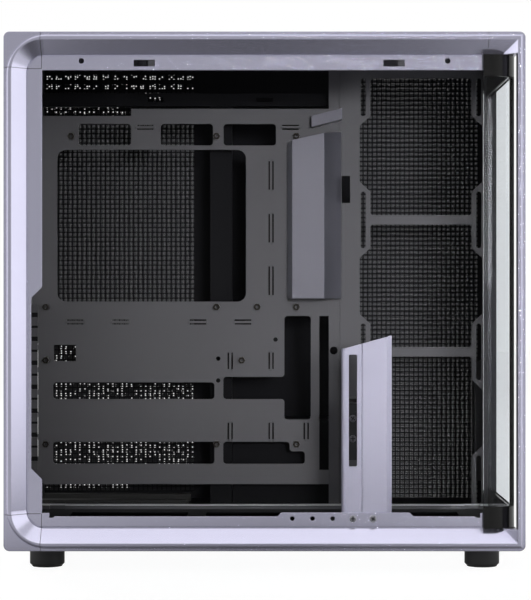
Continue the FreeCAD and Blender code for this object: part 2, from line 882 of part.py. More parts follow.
# Angled panel in front of the back chamber, with the openings of the sockets and the button
def front_panel():
    body = new_body("front_panel")
    profile = sketch_on(body, "XY_Plane", INNER_LOW)
    polygon(profile, [
        (f"{FRONT_INNER} - front_return", TRAY_BACK),
        (f"{FRONT} - shell_gauge", TRAY_BACK),
        (f"{FRONT} - shell_gauge", PANEL_FACE),
        (FRONT_INNER, PANEL_FACE),
        (FRONT_INNER, f"{TRAY_BACK} + shell_gauge"),
        (f"{FRONT_INNER} - front_return", f"{TRAY_BACK} + shell_gauge"),
    ])
    pad(body, profile, f"{INNER_HIGH} - {INNER_LOW}")
    openings = sketch_on(body, "YZ_Plane", f"{FRONT} - shell_gauge")
    circle(openings, IO_Y, BUTTON_Z, "button_radius + button_gap")
    for level, width, height in SOCKETS:
        rect(openings, about(IO_Y, f"{width} + 2 * glue_gap"), about(level, f"{height} + 2 * glue_gap"))
    circle(openings, IO_Y, JACK_Z, "jack_radius + glue_gap")
    pocket(body, openings, "shell_gauge")
    piece(body)


# Block behind the front panel that carries the sockets and the power button
def io_module():
    block = box(
        "io_block",
        (f"{FRONT_INNER} - io_module_depth", FRONT_INNER),
        about(IO_Y, "io_module_width"),
        about("io_centre", "io_module_height"),
    )
    tools = []
    for index, (level, width, height) in enumerate(SOCKETS, 1):
        depth = (SOCKET_BACK, FRONT_INNER)
        tools.append(box(f"socket_{index}_bay", depth, about(IO_Y, width), about(level, height)))
    tools.append(rod("jack_bay", "x", (SOCKET_BACK, IO_Y, JACK_Z), "jack_radius + glue_gap", "socket_depth"))
    well = "(button_flange_gauge + button_travel + 2 * seat_gap)"
    tools.append(rod(
        "button_well", "x", (f"{FRONT_INNER} - {well}", IO_Y, BUTTON_Z),
        "button_radius + button_flange + button_gap", well,
    ))
    tools.append(rod(
        "stem_bore", "x", (f"{FRONT_INNER} - io_module_depth", IO_Y, BUTTON_Z),
        "button_stem + button_gap", "io_module_depth",
    ))
    piece(cut("io_module", block, tools))


def power_button():
    cap = rod(
        "button_cap", "x", (BUTTON_SEAT, IO_Y, BUTTON_Z),
        "button_radius", f"{FRONT} - shell_gauge + button_rise - {BUTTON_SEAT}",
    )
    flange = rod(
        "button_collar", "x", (BUTTON_SEAT, IO_Y, BUTTON_Z),
        "button_radius + button_flange", "button_flange_gauge",
    )
    stem_back = f"({FRONT_INNER} - io_module_depth + button_travel + seat_gap)"
    stem_length = f"{BUTTON_SEAT} - {stem_back}"
    stem = rod("button_stem_rod", "x", (stem_back, IO_Y, BUTTON_Z), "button_stem", stem_length)
    piece(join("power_button", [cap, flange, stem]))


def socket(name, level, width, height):
    front = f"{FRONT} - shell_gauge"
    sleeve = box(name + "_sleeve", (SOCKET_BACK, front), about(IO_Y, width), about(level, height))
    mouth = box(
        name + "_mouth",
        (f"{SOCKET_BACK} + steel_gauge", front),
        about(IO_Y, f"{width} - steel_gauge"),
        about(level, f"{height} - steel_gauge"),
    )
    hollow = cut(name + "_shell", sleeve, [mouth])
    tongue = box(
        name + "_tongue",
        (SOCKET_BACK, f"{front} - steel_gauge"),
        about(IO_Y, f"{width} / 4"),
        about(level, f"{height} * 3 / 4"),
    )
    return join(name, [hollow, tongue])


def sockets():
    usb = [socket(f"usb_port_{i}", *SOCKETS[i - 1]) for i in (1, 2)]
    piece(group("usb_ports", usb))
    piece(socket("usb_c_port", *SOCKETS[2]))
    barrel = rod("jack_barrel", "x", (SOCKET_BACK, IO_Y, JACK_Z), "jack_radius", "socket_depth")
    bore_start = (f"{SOCKET_BACK} + steel_gauge", IO_Y, JACK_Z)
    bore = rod("jack_bore", "x", bore_start, "jack_radius / 2", "socket_depth")
    piece(cut("audio_jack", barrel, [bore]))


# Bent glass: a flat front and a short return round the left corner
def bent_sheet(label, outset, gauge, low, high):
    body = new_body(label)
    role = "XY_Plane"
    profile = sketch_on(body, role, low)
    outer_y = f"({GLASS_OUTER} + {outset})"
    outer_x = f"({GLASS_FRONT} - {outset})"
    corners = polygon(profile, [
        (f"{GLASS_FRONT} - glass_return + seat_gap", outer_y),
        (outer_x, outer_y),
        (outer_x, TRAY_FACE),
        (f"{outer_x} - {gauge}", TRAY_FACE),
        (f"{outer_x} - {gauge}", f"{outer_y} + {gauge}"),
        (f"{GLASS_FRONT} - glass_return + seat_gap", f"{outer_y} + {gauge}"),
    ])
    pad(body, profile, f"({high}) - ({low})")
    round_at(body, role, f"glass_bend - {outset}", [corners[1]])
    round_at(body, role, f"glass_bend - {outset} - {gauge}", [corners[4]])
    piece(body)


def front_glass():
    bent_sheet("front_glass", "seat_gap", "glass_gauge", GLASS_LOW, GLASS_HIGH)
    behind = "(seat_gap + glass_gauge + glue_gap)"
    bent_sheet("glass_band_top", behind, "band_gauge", f"{GLASS_HIGH} - glass_band", GLASS_HIGH)
    bent_sheet("glass_band_bottom", behind, "band_gauge", GLASS_LOW, f"{GLASS_LOW} + glass_band")


# Angled rail under the top plate that the glass is bonded to, and the pads that it stands on
def glass_seats():
    body = new_body("glass_header")
    far = TRAY_FACE
    profile = sketch_on(body, "XZ_Plane", far)
    polygon(profile, [
        (f"{BAND_BACK} - glue_gap - header_depth", INNER_HIGH),
        (f"{BAND_BACK} - glue_gap - header_depth", f"{INNER_HIGH} - steel_gauge"),
        (f"{BAND_BACK} - glue_gap - steel_gauge", f"{INNER_HIGH} - steel_gauge"),
        (f"{BAND_BACK} - glue_gap - steel_gauge", f"{GLASS_HIGH} - glass_band"),
        (f"{BAND_BACK} - glue_gap", f"{GLASS_HIGH} - glass_band"),
        (f"{BAND_BACK} - glue_gap", INNER_HIGH),
    ])
    pad(body, profile, f"{far} - {GLASS_OUTER} - 2 * glass_bend")
    piece(body)
    pads = []
    for index, share in enumerate((1, 3), 1):
        middle = step(f"({GLASS_OUTER} + glass_bend)", TRAY_FACE, 4, share)
        pads.append(box(
            f"glass_pad_{index}",
            (f"{GLASS_FRONT} - seat_gap - glass_gauge", f"{GLASS_FRONT} - seat_gap"),
            about(middle, "pad_length"),
            (FLOOR_TOP, GLASS_LOW),
        ))
    piece(group("glass_pads", pads))


# Motherboard tray with folded edges, cut-outs and raised cable bridges
def motherboard_tray():
    body = new_body("motherboard_tray")
    role = "XZ_Plane"
    step_front = f"({REAR_INNER} + tray_step_length)"
    plate = sketch_on(body, role, TRAY_BACK)
    polygon(plate, [
        (REAR_INNER, "tray_bottom"),
        (TRAY_FRONT, "tray_bottom"),
        (TRAY_FRONT, "tray_top"),
        (step_front, "tray_top"),
        (step_front, "tray_top - tray_step_height"),
        (REAR_INNER, "tray_top - tray_step_height"),
    ])
    pad(body, plate, "steel_gauge")
    folds = sketch_on(body, role, f"{TRAY_BACK} + tray_fold")
    rect(folds, (step_front, TRAY_FRONT), ("tray_top - steel_gauge", "tray_top"))
    rect(folds, (REAR_INNER, TRAY_FRONT), ("tray_bottom", "tray_bottom + steel_gauge"))
    pad(body, folds, "tray_fold")
    tray_cutouts(body, role)
    tray_holes(body, role)
    bars, holes = tray_bridges()
    cable_bridges(body, role, holes, bars)
    piece(body)


def tray_cutouts(body, role):
    large = sketch_on(body, role, TRAY_FACE)
    corners = rect(
        large,
        (on_tray("-cutout_left"), on_tray("-cutout_right")),
        ("cutout_bottom", "cutout_bottom + cutout_height"),
    )
    pocket(body, large)
    round_at(body, role, "cutout_corner", corners)
    slots = sketch_on(body, role, TRAY_FACE)
    upper = ("upper_slot_bottom", "upper_slot_bottom + upper_slot_height")
    middle = ("middle_slot_bottom", "middle_slot_bottom + middle_slot_height")
    lower = ("lower_slot_bottom", "lower_slot_bottom + lower_slot_height")
    corners = []
    for place_x in ("upper_slot_rear", "upper_slot_middle", "upper_slot_front"):
        corners += rect(slots, about(on_tray(f"-{place_x}"), f"upper_slot_length * {TRAY_SHARE}"), upper)
    for level in (middle, lower):
        corners += rect(slots, (on_tray("-wide_slot_rear"), on_tray("-wide_slot_front")), level)
    short_rear = on_tray("-short_slot_rear")
    short_top = "middle_slot_bottom + short_slot_height"
    riser_rear, riser_front = on_tray("riser_rear"), on_tray("riser_front")
    corners += polygon(slots, [
        (short_rear, middle[0]),
        (riser_rear, middle[0]),
        (riser_rear, "riser_bottom"),
        (riser_front, "riser_bottom"),
        (riser_front, "riser_top"),
        (riser_rear, "riser_top"),
        (riser_rear, short_top),
        (short_rear, short_top),
    ])
    lower_front, lower_step = on_tray("lower_slot_front"), on_tray("lower_slot_front - lower_slot_step")
    corners += polygon(slots, [
        (short_rear, lower[0]),
        (lower_front, lower[0]),
        (lower_front, f"{lower[1]} - lower_slot_drop"),
        (lower_step, f"{lower[1]} - lower_slot_drop"),
        (lower_step, lower[1]),
        (short_rear, lower[1]),
    ])
    port_rear = on_tray("-port_rear")
    rect(slots, (port_rear, f"{port_rear} + port_length"), ("port_bottom", "port_bottom + port_height"))
    gap = (f"{TRAY_FRONT} - gap_slot_width", f"{TRAY_FRONT} + seat_gap")
    rect(slots, gap, ("gap_slot_bottom", "riser_top"))
    pocket(body, slots)
    round_at(body, role, "slot_corner", corners)


# Small round holes, and slots that take the inner ends of the expansion slot covers
def tray_holes(body, role):
    holes = sketch_on(body, role, TRAY_FACE)
    spots = [
        ("-hole_column", "hole_upper"),
        ("-hole_column", "hole_lower"),
        ("hole_front", "hole_front_level"),
    ]
    for x, z in spots:
        circle(holes, on_tray(x), z, "tray_hole_radius")
    across = about(f"{REAR_INNER} + tongue_offset", "tongue_width")
    for index in range(EXPANSION_SLOTS):
        rect(holes, across, about(slot_level(index), "tongue_length"))
    pocket(body, holes)


def tray_bridges():
    spots = []
    for pair in ("bridge_pair_rear", "bridge_pair_front"):
        for index in (0, 1):
            spots.append((f"-{pair} + {index} * bridge_pair_pitch", "bridge_row", "bridge_length", "flat"))
    spots.append(("-bridge_top_rear", "bridge_top_row", "bridge_length", "flat"))
    spots.append(("bridge_top_front", "bridge_top_row", "bridge_length", "flat"))
    for index in range(3):
        level = f"bridge_column_low + {index} * bridge_column_pitch"
        spots.append(("bridge_column", level, "bridge_long", "upright"))
    for row in ("bridge_upper_row", "bridge_lower_row"):
        for column in ("-bridge_short_column", "bridge_column"):
            spots.append((column, row, "bridge_length", "upright"))
    spots.append(("bridge_last_column", "bridge_lower_row", "bridge_length", "upright"))
    return bridge_rects(spots)


def bridge_rects(spots):
    bars = []
    holes = []
    for place_x, z, length, lie in spots:
        x = on_tray(place_x)
        hole = [about(x, length), about(z, "bridge_width")]
        bar = [about(x, f"{length} + 2 * bridge_overlap"), about(z, "bridge_bar")]
        if lie == "upright":
            hole = [about(x, "bridge_width"), about(z, length)]
            bar = [about(x, "bridge_bar"), about(z, f"{length} + 2 * bridge_overlap")]
        holes.append(hole)
        bars.append(bar)
    return bars, holes


def cable_bridges(body, role, holes, bars):
    openings = sketch_on(body, role, TRAY_FACE)
    for across, up in holes:
        rect(openings, across, up)
    pocket(body, openings)
    straps = sketch_on(body, role, TRAY_FACE)
    for across, up in bars:
        rect(straps, across, up)
    pad(body, straps, "steel_gauge")


# Threaded spacers on the hole grid of a full size board, with three for smaller ones
def standoffs():
    full_row = ("0", "board_pitch", "board_length")
    top_row = ("board_shift", "board_pitch", "board_length")
    spots = [(column, "0") for column in top_row]
    spots += [(column, row) for row in ("board_pitch", "board_height") for column in full_row]
    spots += [("spare_column", "board_pitch"), ("0", "small_row"), ("small_column", "small_row")]
    spacers = []
    for index, (column, row) in enumerate(spots, 1):
        start = (on_tray(f"-board_column + {column}"), f"{TRAY_FACE} - standoff_height", f"board_row - {row}")
        name = f"standoff_{index}"
        post = doc.addObject("Part::Prism", name + "_post")
        post.Polygon = HEXAGON
        post.setExpression("Circumradius", bound("standoff_radius"))
        post.setExpression("Height", bound("standoff_height"))
        place(post, "y", start)
        bore = rod(name + "_bore", "y", start, "thread_radius", "standoff_height")
        spacers.append(cut(name, post, [bore]))
    piece(group("standoffs", spacers))


# Plate in line with the tray for three side fans, with stepped openings and screw slots
def fan_plate():
    body = new_body("fan_plate")
    role = "XZ_Plane"
    plate = sketch_on(body, role, TRAY_BACK)
    rect(plate, (TRAY_FRONT, FAN_PLATE_FRONT), (FLOOR_TOP, INNER_HIGH))
    pad(body, plate, "steel_gauge")
    openings = sketch_on(body, role, TRAY_FACE)
    corners = []
    wide, neck, waist = "fan_opening / 2", "fan_neck / 2", "fan_waist / 2"
    for fan in FANS:
        middle = f"(fan_middle + {fan} * fan_size)"
        quarter = [(neck, wide), (neck, f"({waist} + fan_taper)"), (wide, waist)]
        around = [("+", across, "+", up) for across, up in quarter]
        around += [("+", across, "-", up) for across, up in reversed(quarter)]
        around += [("-", across, "-", up) for across, up in quarter]
        around += [("-", across, "+", up) for across, up in reversed(quarter)]
        points = [(f"{FAN_CENTRE} {a} {across}", f"{middle} {b} {up}") for a, across, b, up in around]
        loop = polygon(openings, points)
        corners += [loop[0], loop[5], loop[6], loop[11]]
    pocket(body, openings)
    round_at(body, role, "slot_corner", corners)
    fan_plate_ends(body, role)
    fan_plate_slots(body, role)
    piece(body)


# The lowest opening runs down to the floor rail, and the highest one up to the top of the plate
def fan_plate_ends(body, role):
    ends = sketch_on(body, role, TRAY_FACE)
    across = about(FAN_CENTRE, "fan_neck")
    rect(ends, across, (f"{FLOOR_TOP} + floor_rail_height", "fan_middle - fan_size - fan_waist"))
    top = ("fan_middle + fan_size + fan_waist", f"{INNER_HIGH} - fan_top_margin")
    corners = rect(ends, across, top)
    pocket(body, ends)
    round_at(body, role, "slot_corner", corners[2:])


def fan_plate_slots(body, role):
    slots = sketch_on(body, role, TRAY_FACE)
    corners = []
    half = "fan_slot_length / 2"
    for side in SIDES:
        across = about(f"{FAN_CENTRE} + {side}fan_hole_pitch / 2", "fan_slot_width")
        for gap in SIDES:
            corners += rect(slots, across, about(f"fan_middle + {gap}fan_size / 2", "fan_slot_length"))
        top = "(fan_middle + fan_size * 3 / 2)"
        bottom = "(fan_middle - fan_size * 3 / 2)"
        corners += rect(slots, across, (f"{top} - {half}", f"{top} + fan_slot_stub"))
        corners += rect(slots, across, (f"{FLOOR_TOP} + fan_slot_rise", f"{bottom} + {half}"))
    notch_rear = f"({COVER_FRONT} + seat_gap)"
    rect(
        slots,
        (notch_rear, f"{notch_rear} + plate_notch_width"),
        ("plate_notch_bottom", "plate_notch_bottom + plate_notch_height"),
    )
    circle(slots, f"{TRAY_FRONT} + plate_hole_offset", "plate_hole_height", "plate_hole_radius")
    pocket(body, slots)
    round_at(body, role, "fan_slot_width / 2 - glue_gap", corners)
    seam = sketch_on(body, role, TRAY_FACE)
    height = (f"{FLOOR_TOP} - seat_gap", f"{INNER_HIGH} + seat_gap")
    rect(seam, about(f"{TRAY_FRONT} + seam_offset", "seam_width"), height)
    pocket(body, seam, "steel_gauge / 2")


# Folded cover that stands on the tray over the cable channel, and the cap above it
def cable_cover():
    body = new_body("cable_cover")
    face_rear = f"({COVER_REAR} + cover_rear_slope)"
    face_front = f"({COVER_FRONT} - cover_front_slope)"
    profile = sketch_on(body, "XY_Plane", "cover_bottom")
    polygon(profile, [
        (COVER_REAR, TRAY_FACE),
        (face_rear, COVER_FACE),
        (face_front, COVER_FACE),
        (COVER_FRONT, TRAY_FACE),
        (f"{COVER_FRONT} - cover_foot", TRAY_FACE),
        (f"{face_front} - steel_gauge / 2", f"{COVER_FACE} + steel_gauge"),
        (f"{face_rear} + steel_gauge", f"{COVER_FACE} + steel_gauge"),
        (f"{COVER_REAR} + steel_gauge", TRAY_FACE),
    ])
    high = "(cover_top + cover_rise)"
    pad(body, profile, f"{high} - cover_bottom")
    slope = sketch_on(body, "XZ_Plane", COVER_FACE)
    polygon(slope, [
        (f"{COVER_REAR} - seat_gap", "cover_top"),
        (f"{COVER_FRONT} + seat_gap", high),
        (f"{COVER_FRONT} + seat_gap", f"{high} + steel_gauge"),
        (f"{COVER_REAR} - seat_gap", f"{high} + steel_gauge"),
    ])
    pocket(body, slope)
    piece(body)


def cable_cover_cap():
    body = new_body("cable_cover_cap")
    role = "XZ_Plane"
    outline = sketch_on(body, role, TRAY_FACE)
    polygon(outline, [
        (CAP_REAR, "cap_bottom"),
        (COVER_FRONT, "cap_bottom + cap_rise"),
        (COVER_FRONT, "cap_bottom + cap_rise + cap_height"),
        (CAP_REAR, "cap_bottom + cap_height"),
    ])
    pad(body, outline, "cap_depth")
    hollow = sketch_on(body, role, f"{TRAY_FACE} - cap_depth + steel_gauge")
    polygon(hollow, [
        (f"{CAP_REAR} + steel_gauge", "cap_bottom + 2 * steel_gauge"),
        (f"{COVER_FRONT} - steel_gauge", "cap_bottom + cap_rise + steel_gauge"),
        (f"{COVER_FRONT} - steel_gauge", "cap_bottom + cap_rise + cap_height - 2 * steel_gauge"),
        (f"{CAP_REAR} + steel_gauge", "cap_bottom + cap_height - steel_gauge"),
    ])
    pocket(body, hollow)
    piece(body)


# Rails and plates of the inner chassis
def chassis_rail():
    body = new_body("chassis_rail")
    face = f"({TRAY_FACE} + rail_setback)"
    profile = sketch_on(body, "YZ_Plane", REAR_INNER)
    polygon(profile, [
        (face, "rail_bottom"),
        (f"{face} + rail_height", "rail_bottom"),
        (f"{face} + rail_height", "rail_bottom + steel_gauge"),
        (f"{face} + steel_gauge", "rail_bottom + steel_gauge"),
        (f"{face} + steel_gauge", "rail_bottom + rail_height"),
        (face, "rail_bottom + rail_height"),
    ])
    pad(body, profile, f"{TRAY_FRONT} - {REAR_INNER}")
    slots = sketch_on(body, "XZ_Plane", face)
    level = about("rail_bottom + rail_height / 2", "bridge_width")
    for middle in ("-rail_slot_pitch", "0"):
        rect(slots, about(middle, "bridge_length"), level)
    pocket(body, slots, "steel_gauge")
    piece(body)


def floor_panel():
    body = new_body("floor_panel")
    plate = sketch_on(body, "XY_Plane", f"{FLOOR_TOP} - steel_gauge")
    polygon(plate, [
        (REAR_INNER, LIP_BACK),
        (GLASS_FRONT, LIP_BACK),
        (GLASS_FRONT, TRAY_BACK),
        (f"{FRONT_INNER} - front_return", TRAY_BACK),
        (f"{FRONT_INNER} - front_return", PANEL_FACE),
        (REAR_INNER, PANEL_FACE),
    ])
    pad(body, plate, "steel_gauge")
    fan_holes(body, FLOOR_TOP)
    piece(body)


def fan_holes(body, level):
    holes = sketch_on(body, "XY_Plane", level)
    for fan in FANS:
        middle = f"{fan} * {FAN_BAY}"
        rect(holes, about(middle, f"{FAN_BAY} - fan_bar"), about(FAN_MID, "fan_size - fan_bar"))
    pocket(body, holes, "steel_gauge")


def top_fan_bracket():
    body = new_body("top_fan_bracket")
    plate = sketch_on(body, "XY_Plane", f"{INNER_HIGH} - steel_gauge")
    rect(plate, about("0", f"3 * {FAN_BAY} + bracket_margin"), about(FAN_MID, "fan_size + bracket_margin"))
    pad(body, plate, "steel_gauge")
    fan_holes(body, INNER_HIGH)
    piece(body)


def floor_rail():
    front = f"({BAND_BACK} - seat_gap)"
    near = f"({TRAY_FACE} - floor_rail_width)"
    length = (REAR_INNER, front)
    height = (FLOOR_TOP, f"{FLOOR_TOP} + floor_rail_height")
    slit_low = f"({FLOOR_TOP} + rail_groove_rise)"
    bar = box("floor_rail_bar", length, (near, TRAY_FACE), height)
    slit = box("rail_slit", length, (near, f"{near} + rail_groove"), (slit_low, f"{slit_low} + rail_groove"))
    cuts = [slit]
    ends = (f"{REAR_INNER} + rail_notch_rear", f"{front} - rail_notch_front")
    for index, middle in enumerate(ends, 1):
        cuts.append(box(
            f"rail_notch_{index}",
            about(middle, "rail_notch_length"),
            (near, f"{near} + floor_rail_width / 2"),
            height,
        ))
    piece(cut("floor_rail", bar, cuts))


# Fittings of the back chamber
def drive_bracket():
    body = new_body("drive_bracket")
    face = f"({TRAY_FACE} + rail_setback + steel_gauge + seat_gap)"
    rear, front = "(-drive_rear)", "(-drive_rear + drive_width)"
    profile = sketch_on(body, "XY_Plane", FLOOR_TOP)
    polygon(profile, [
        (rear, face),
        (front, face),
        (front, f"{face} + drive_fold"),
        (f"{front} - steel_gauge", f"{face} + drive_fold"),
        (f"{front} - steel_gauge", f"{face} + steel_gauge"),
        (f"{rear} + steel_gauge", f"{face} + steel_gauge"),
        (f"{rear} + steel_gauge", f"{face} + drive_fold"),
        (rear, f"{face} + drive_fold"),
    ])
    pad(body, profile, f"rail_bottom - {FLOOR_TOP}")
    piece(body)


def drive_cage():
    far = f"({PANEL_FACE} - seat_gap)"
    length = ("-drive_rear + drive_width + seat_gap", "-drive_rear + drive_width + seat_gap + cage_length")
    outer = box("cage_outer", length, (f"{far} - cage_width", far), (FLOOR_TOP, f"{FLOOR_TOP} + cage_height"))
    bays = []
    for index in range(CAGE_BAYS):
        low = f"({FLOOR_TOP} + 2 * steel_gauge + {index} * (cage_height - 2 * steel_gauge) / {CAGE_BAYS})"
        bays.append(box(
            f"cage_bay_{index + 1}",
            length,
            (f"{far} - cage_width + steel_gauge", f"{far} - steel_gauge"),
            (low, f"{low} + cage_bay"),
        ))
    piece(cut("drive_cage", outer, bays))


def supply_rails():
    rails = []
    for side in SIDES:
        rails.append(box(
            f"supply_rail_{len(rails) + 1}",
            (REAR_INNER, "-drive_rear - drive_width"),
            about(f"{SUPPLY_MID} + {side}supply_rail_offset", "supply_rail_width"),
            (FLOOR_TOP, f"{FLOOR_TOP} + supply_rise"),
        ))
    piece(group("supply_rails", rails))


# Upright holder for the free end of a graphics card, screwed behind the bottom lip
def card_holder():
    body = new_body("card_holder")
    role = "XY_Plane"
    low = f"({LOW} + {BEVEL} + holder_wall)"
    high = f"({low} + holder_height)"
    near, far = LIP_BACK, f"({LIP_BACK} + holder_depth)"
    groove = f"({HOLDER_REAR} + holder_groove)"
    profile = sketch_on(body, role, low)
    corners = polygon(profile, [
        (HOLDER_REAR, far),
        (HOLDER_REAR, near),
        (groove, near),
        (groove, f"{near} + holder_groove_depth"),
        (f"{groove} + holder_groove_width", f"{near} + holder_groove_depth"),
        (f"{groove} + holder_groove_width", near),
        (f"{HOLDER_FRONT} - holder_bevel", near),
        (HOLDER_FRONT, f"{near} + holder_bevel"),
        (HOLDER_FRONT, far),
        (f"{HOLDER_FRONT} - holder_wall", far),
        (f"{HOLDER_FRONT} - holder_wall", HOLDER_INNER),
        (f"{HOLDER_REAR} + holder_wall", HOLDER_INNER),
        (f"{HOLDER_REAR} + holder_wall", far),
    ])
    pad(body, profile, "holder_height")
    round_at(body, role, "holder_round", [corners[1]])
    slope = sketch_on(body, "XZ_Plane", near)
    polygon(slope, [
        (f"{HOLDER_REAR} - seat_gap", f"{high} - holder_slope"),
        (f"{HOLDER_FRONT} + seat_gap", high),
        (f"{HOLDER_FRONT} + seat_gap", f"{high} + seat_gap"),
        (f"{HOLDER_REAR} - seat_gap", f"{high} + seat_gap"),
    ])
    pocket(body, slope)
    holes = sketch_on(body, "XZ_Plane", near)
    slot_range = ("arm_slot_bottom", "arm_slot_bottom + arm_slot_height")
    slot = rect(holes, about(ARM_X, "arm_slot_width"), slot_range)
    for index in HOLDER_SCREWED:
        circle(holes, holder_hole(index), HOLDER_HOLE_Z, "holder_hole_radius")
    pocket(body, holes)
    round_at(body, "XZ_Plane", "arm_slot_corner", slot)
    piece(body)
    face = f"({LEFT} + bevel_depth)"
    grip = "lip_gauge + holder_front_wall"
    screws = [
        screw(f"holder_screw_{index}", (holder_hole(index), face, HOLDER_HOLE_Z), grip)
        for index in HOLDER_SCREWED
    ]
    piece(group("card_holder_screws", screws))


# Arm that slides in the holder: a plate behind its slot, a shelf with a soft pad, and two screws
def card_arm():
    across = about(ARM_X, "arm_width")
    back = f"({ARM_FACE} + arm_gauge)"
    shelf_end = f"({ARM_FACE} + arm_reach)"
    slider = box("arm_slider", across, (ARM_FACE, back), ("arm_bottom", ARM_TOP))
    shelf_across = (across[0], SHELF_FRONT)
    shelf = box("arm_shelf", shelf_across, (ARM_FACE, shelf_end), (f"{ARM_TOP} - arm_gauge", ARM_TOP))
    rib = box("arm_rib", about(ARM_X, "arm_gauge"), (ARM_FACE, f"{ARM_FACE} + arm_height / 2"),
              (f"{ARM_TOP} - arm_height / 4", ARM_TOP))
    levels = [f"(arm_screw_low + {index} * arm_screw_pitch)" for index in (0, 1)]
    holes = []
    screws = []
    for index, level in enumerate(levels, 1):
        start = (ARM_X, ARM_FACE, level)
        holes.append(rod(f"arm_hole_{index}", "y", start, "screw_shank_radius + glue_gap", "arm_gauge"))
        screws.append(screw(f"arm_screw_{index}", start, "arm_gauge"))
    piece(cut("card_arm", join("arm_body", [slider, shelf, rib]), holes))
    pad_depth = (f"{shelf_end} - arm_reach * 2 / 3", shelf_end)
    piece(box("card_arm_pad", shelf_across, pad_depth, (ARM_TOP, f"{ARM_TOP} + arm_pad_height")))
    piece(group("card_arm_screws", screws))


# Round feet with soft pads underneath
def feet():
    pads = []
    for index, (side_x, side_y) in enumerate([("-", "-"), ("", "-"), ("-", ""), ("", "")], 1):
        x = f"{side_x}(body_length / 2 - foot_inset)"
        y = f"{side_y}(body_width / 2 - foot_inset_side)"
        body = new_body(f"foot_{index}")
        half = sketch_on(body, "XZ_Plane", "0")
        polygon(half, [
            ("0", "foot_pad_height"),
            ("foot_radius - foot_edge", "foot_pad_height"),
            ("foot_radius", "foot_pad_height + foot_edge"),
            ("foot_radius", "foot_height"),
            ("0", "foot_height"),
        ])
        settle(half)
        turn = body.newObject("PartDesign::Revolution", body.Name + "_turn")
        turn.Profile = half
        turn.ReferenceAxis = (half, ["V_Axis"])
        turn.Angle = 360.0
        body.setExpression("Placement.Base.x", bound(x))
        body.setExpression("Placement.Base.y", bound(y))
        piece(body)
        pads.append(rod(f"foot_pad_{index}", "z", (x, y, "0"), "foot_pad_radius", "foot_pad_height"))
    piece(group("foot_pads", pads))


side_frame()
panel_latches()
shell("top_shell", HIGH, "-", HIGH)
shell("bottom_shell", LOW, "+", INNER_LOW)
rear_panel()
for slot in range(EXPANSION_SLOTS):
    slot_cover(slot)
slot_shelf()
right_panel()
front_panel()
io_module()
power_button()
sockets()
front_glass()
glass_seats()
motherboard_tray()
standoffs()
fan_plate()
cable_cover()
cable_cover_cap()
chassis_rail()
floor_panel()
top_fan_bracket()
floor_rail()
drive_bracket()
drive_cage()
supply_rails()
card_holder()
card_arm()
feet()
doc.recompute()

# Every object must have come out whole before any file is written
for item in doc.Objects:
    if "Invalid" in item.State or "Error" in item.State:
        raise ValueError(f"{item.Label} failed: {item.State}")
for item in PIECES:
    if item.Shape.isNull() or not item.Shape.isValid() or not item.Shape.Solids:
        raise ValueError(f"{item.Label} has no valid solid")
for item in PIECES:
    item.Shape.exportStep(f"parts/{item.Label}.step")
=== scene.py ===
# Looks of a mid tower computer case with two chambers, its left side panel taken off.
import json
import math

import bmesh
import bpy
from mathutils import Matrix, Vector


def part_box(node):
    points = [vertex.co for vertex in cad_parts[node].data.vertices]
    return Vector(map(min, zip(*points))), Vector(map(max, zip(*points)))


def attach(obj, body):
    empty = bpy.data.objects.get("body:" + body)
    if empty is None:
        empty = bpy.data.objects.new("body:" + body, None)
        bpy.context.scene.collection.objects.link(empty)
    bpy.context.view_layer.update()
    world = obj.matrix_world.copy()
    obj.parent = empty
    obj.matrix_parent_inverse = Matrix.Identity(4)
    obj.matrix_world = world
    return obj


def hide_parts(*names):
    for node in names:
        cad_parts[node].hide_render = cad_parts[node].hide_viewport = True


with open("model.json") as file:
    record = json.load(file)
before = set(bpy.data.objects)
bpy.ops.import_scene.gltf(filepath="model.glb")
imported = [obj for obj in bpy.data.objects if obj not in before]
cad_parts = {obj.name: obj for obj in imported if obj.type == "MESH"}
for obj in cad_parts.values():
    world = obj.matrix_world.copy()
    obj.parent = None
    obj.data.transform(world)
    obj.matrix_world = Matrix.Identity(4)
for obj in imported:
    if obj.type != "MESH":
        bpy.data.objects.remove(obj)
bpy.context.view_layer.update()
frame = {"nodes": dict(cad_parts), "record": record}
nodes = frame["nodes"]

MM = 0.001
WHITE = (1, 1, 1, 1)

# Perforated fields of the right panel, in millimetres; shares are of a hole's pitch
HOLE_PITCH = 4.5
HOLE_SHARE = (0.72, 0.72)
TOP_ROW_PITCH = 9.0
TOP_ROW_SHARE = (0.68, 0.50)
TOP_ROWS = 2
REAR_FIELD = (-211.0, -67.0)
REAR_LOW = 40.0
FRONT_FIELD = (90.0, 205.0)
FRONT_LOW = 24.0
FIELD_HIGH = 441.0
CORNER_RADIUS = 5.0
CORNER_STEPS = 6

# Filter cloth inside the panel, in millimetres
CLOTH_GAUGE = 0.3
CLOTH_PITCH = 2.25
DENSE_LOW = 190.0
DENSE_HIGH = 398.0
RAIL_LOW = 413.0
RAIL_HIGH = 424.0
RAIL_SLOT = (-118.0, -97.0)
GAP_FRONT = -128.5
SILL_LOW = 43.0
SILL_HIGH = 52.0

# Holes of the cloth: radius and scatter as shares of the pitch, share of them lost, light let through
CLOTH_HOLE = 0.28
CLOTH_SCATTER = 0.4
CLOTH_LOST = 0.42
OPEN_LIGHT = 0.80
DENSE_LIGHT = 0.30

# Seams of the side frame, in millimetres
SEAM_WIDTH = 0.5
SEAM_REAR = -184.6
SEAM_FRONT = 184.5
SEAM_MIDDLE = 230.2
SEAM_RISE = 184.2
SEAM_TOP = 431.0

# Back face of the front panel's inner flange and depth of the painted highlight along the floor rail's
# top, in millimetres
FLANGE_DEPTH = 40.4
RAIL_HIGHLIGHT_BAND = 1.2

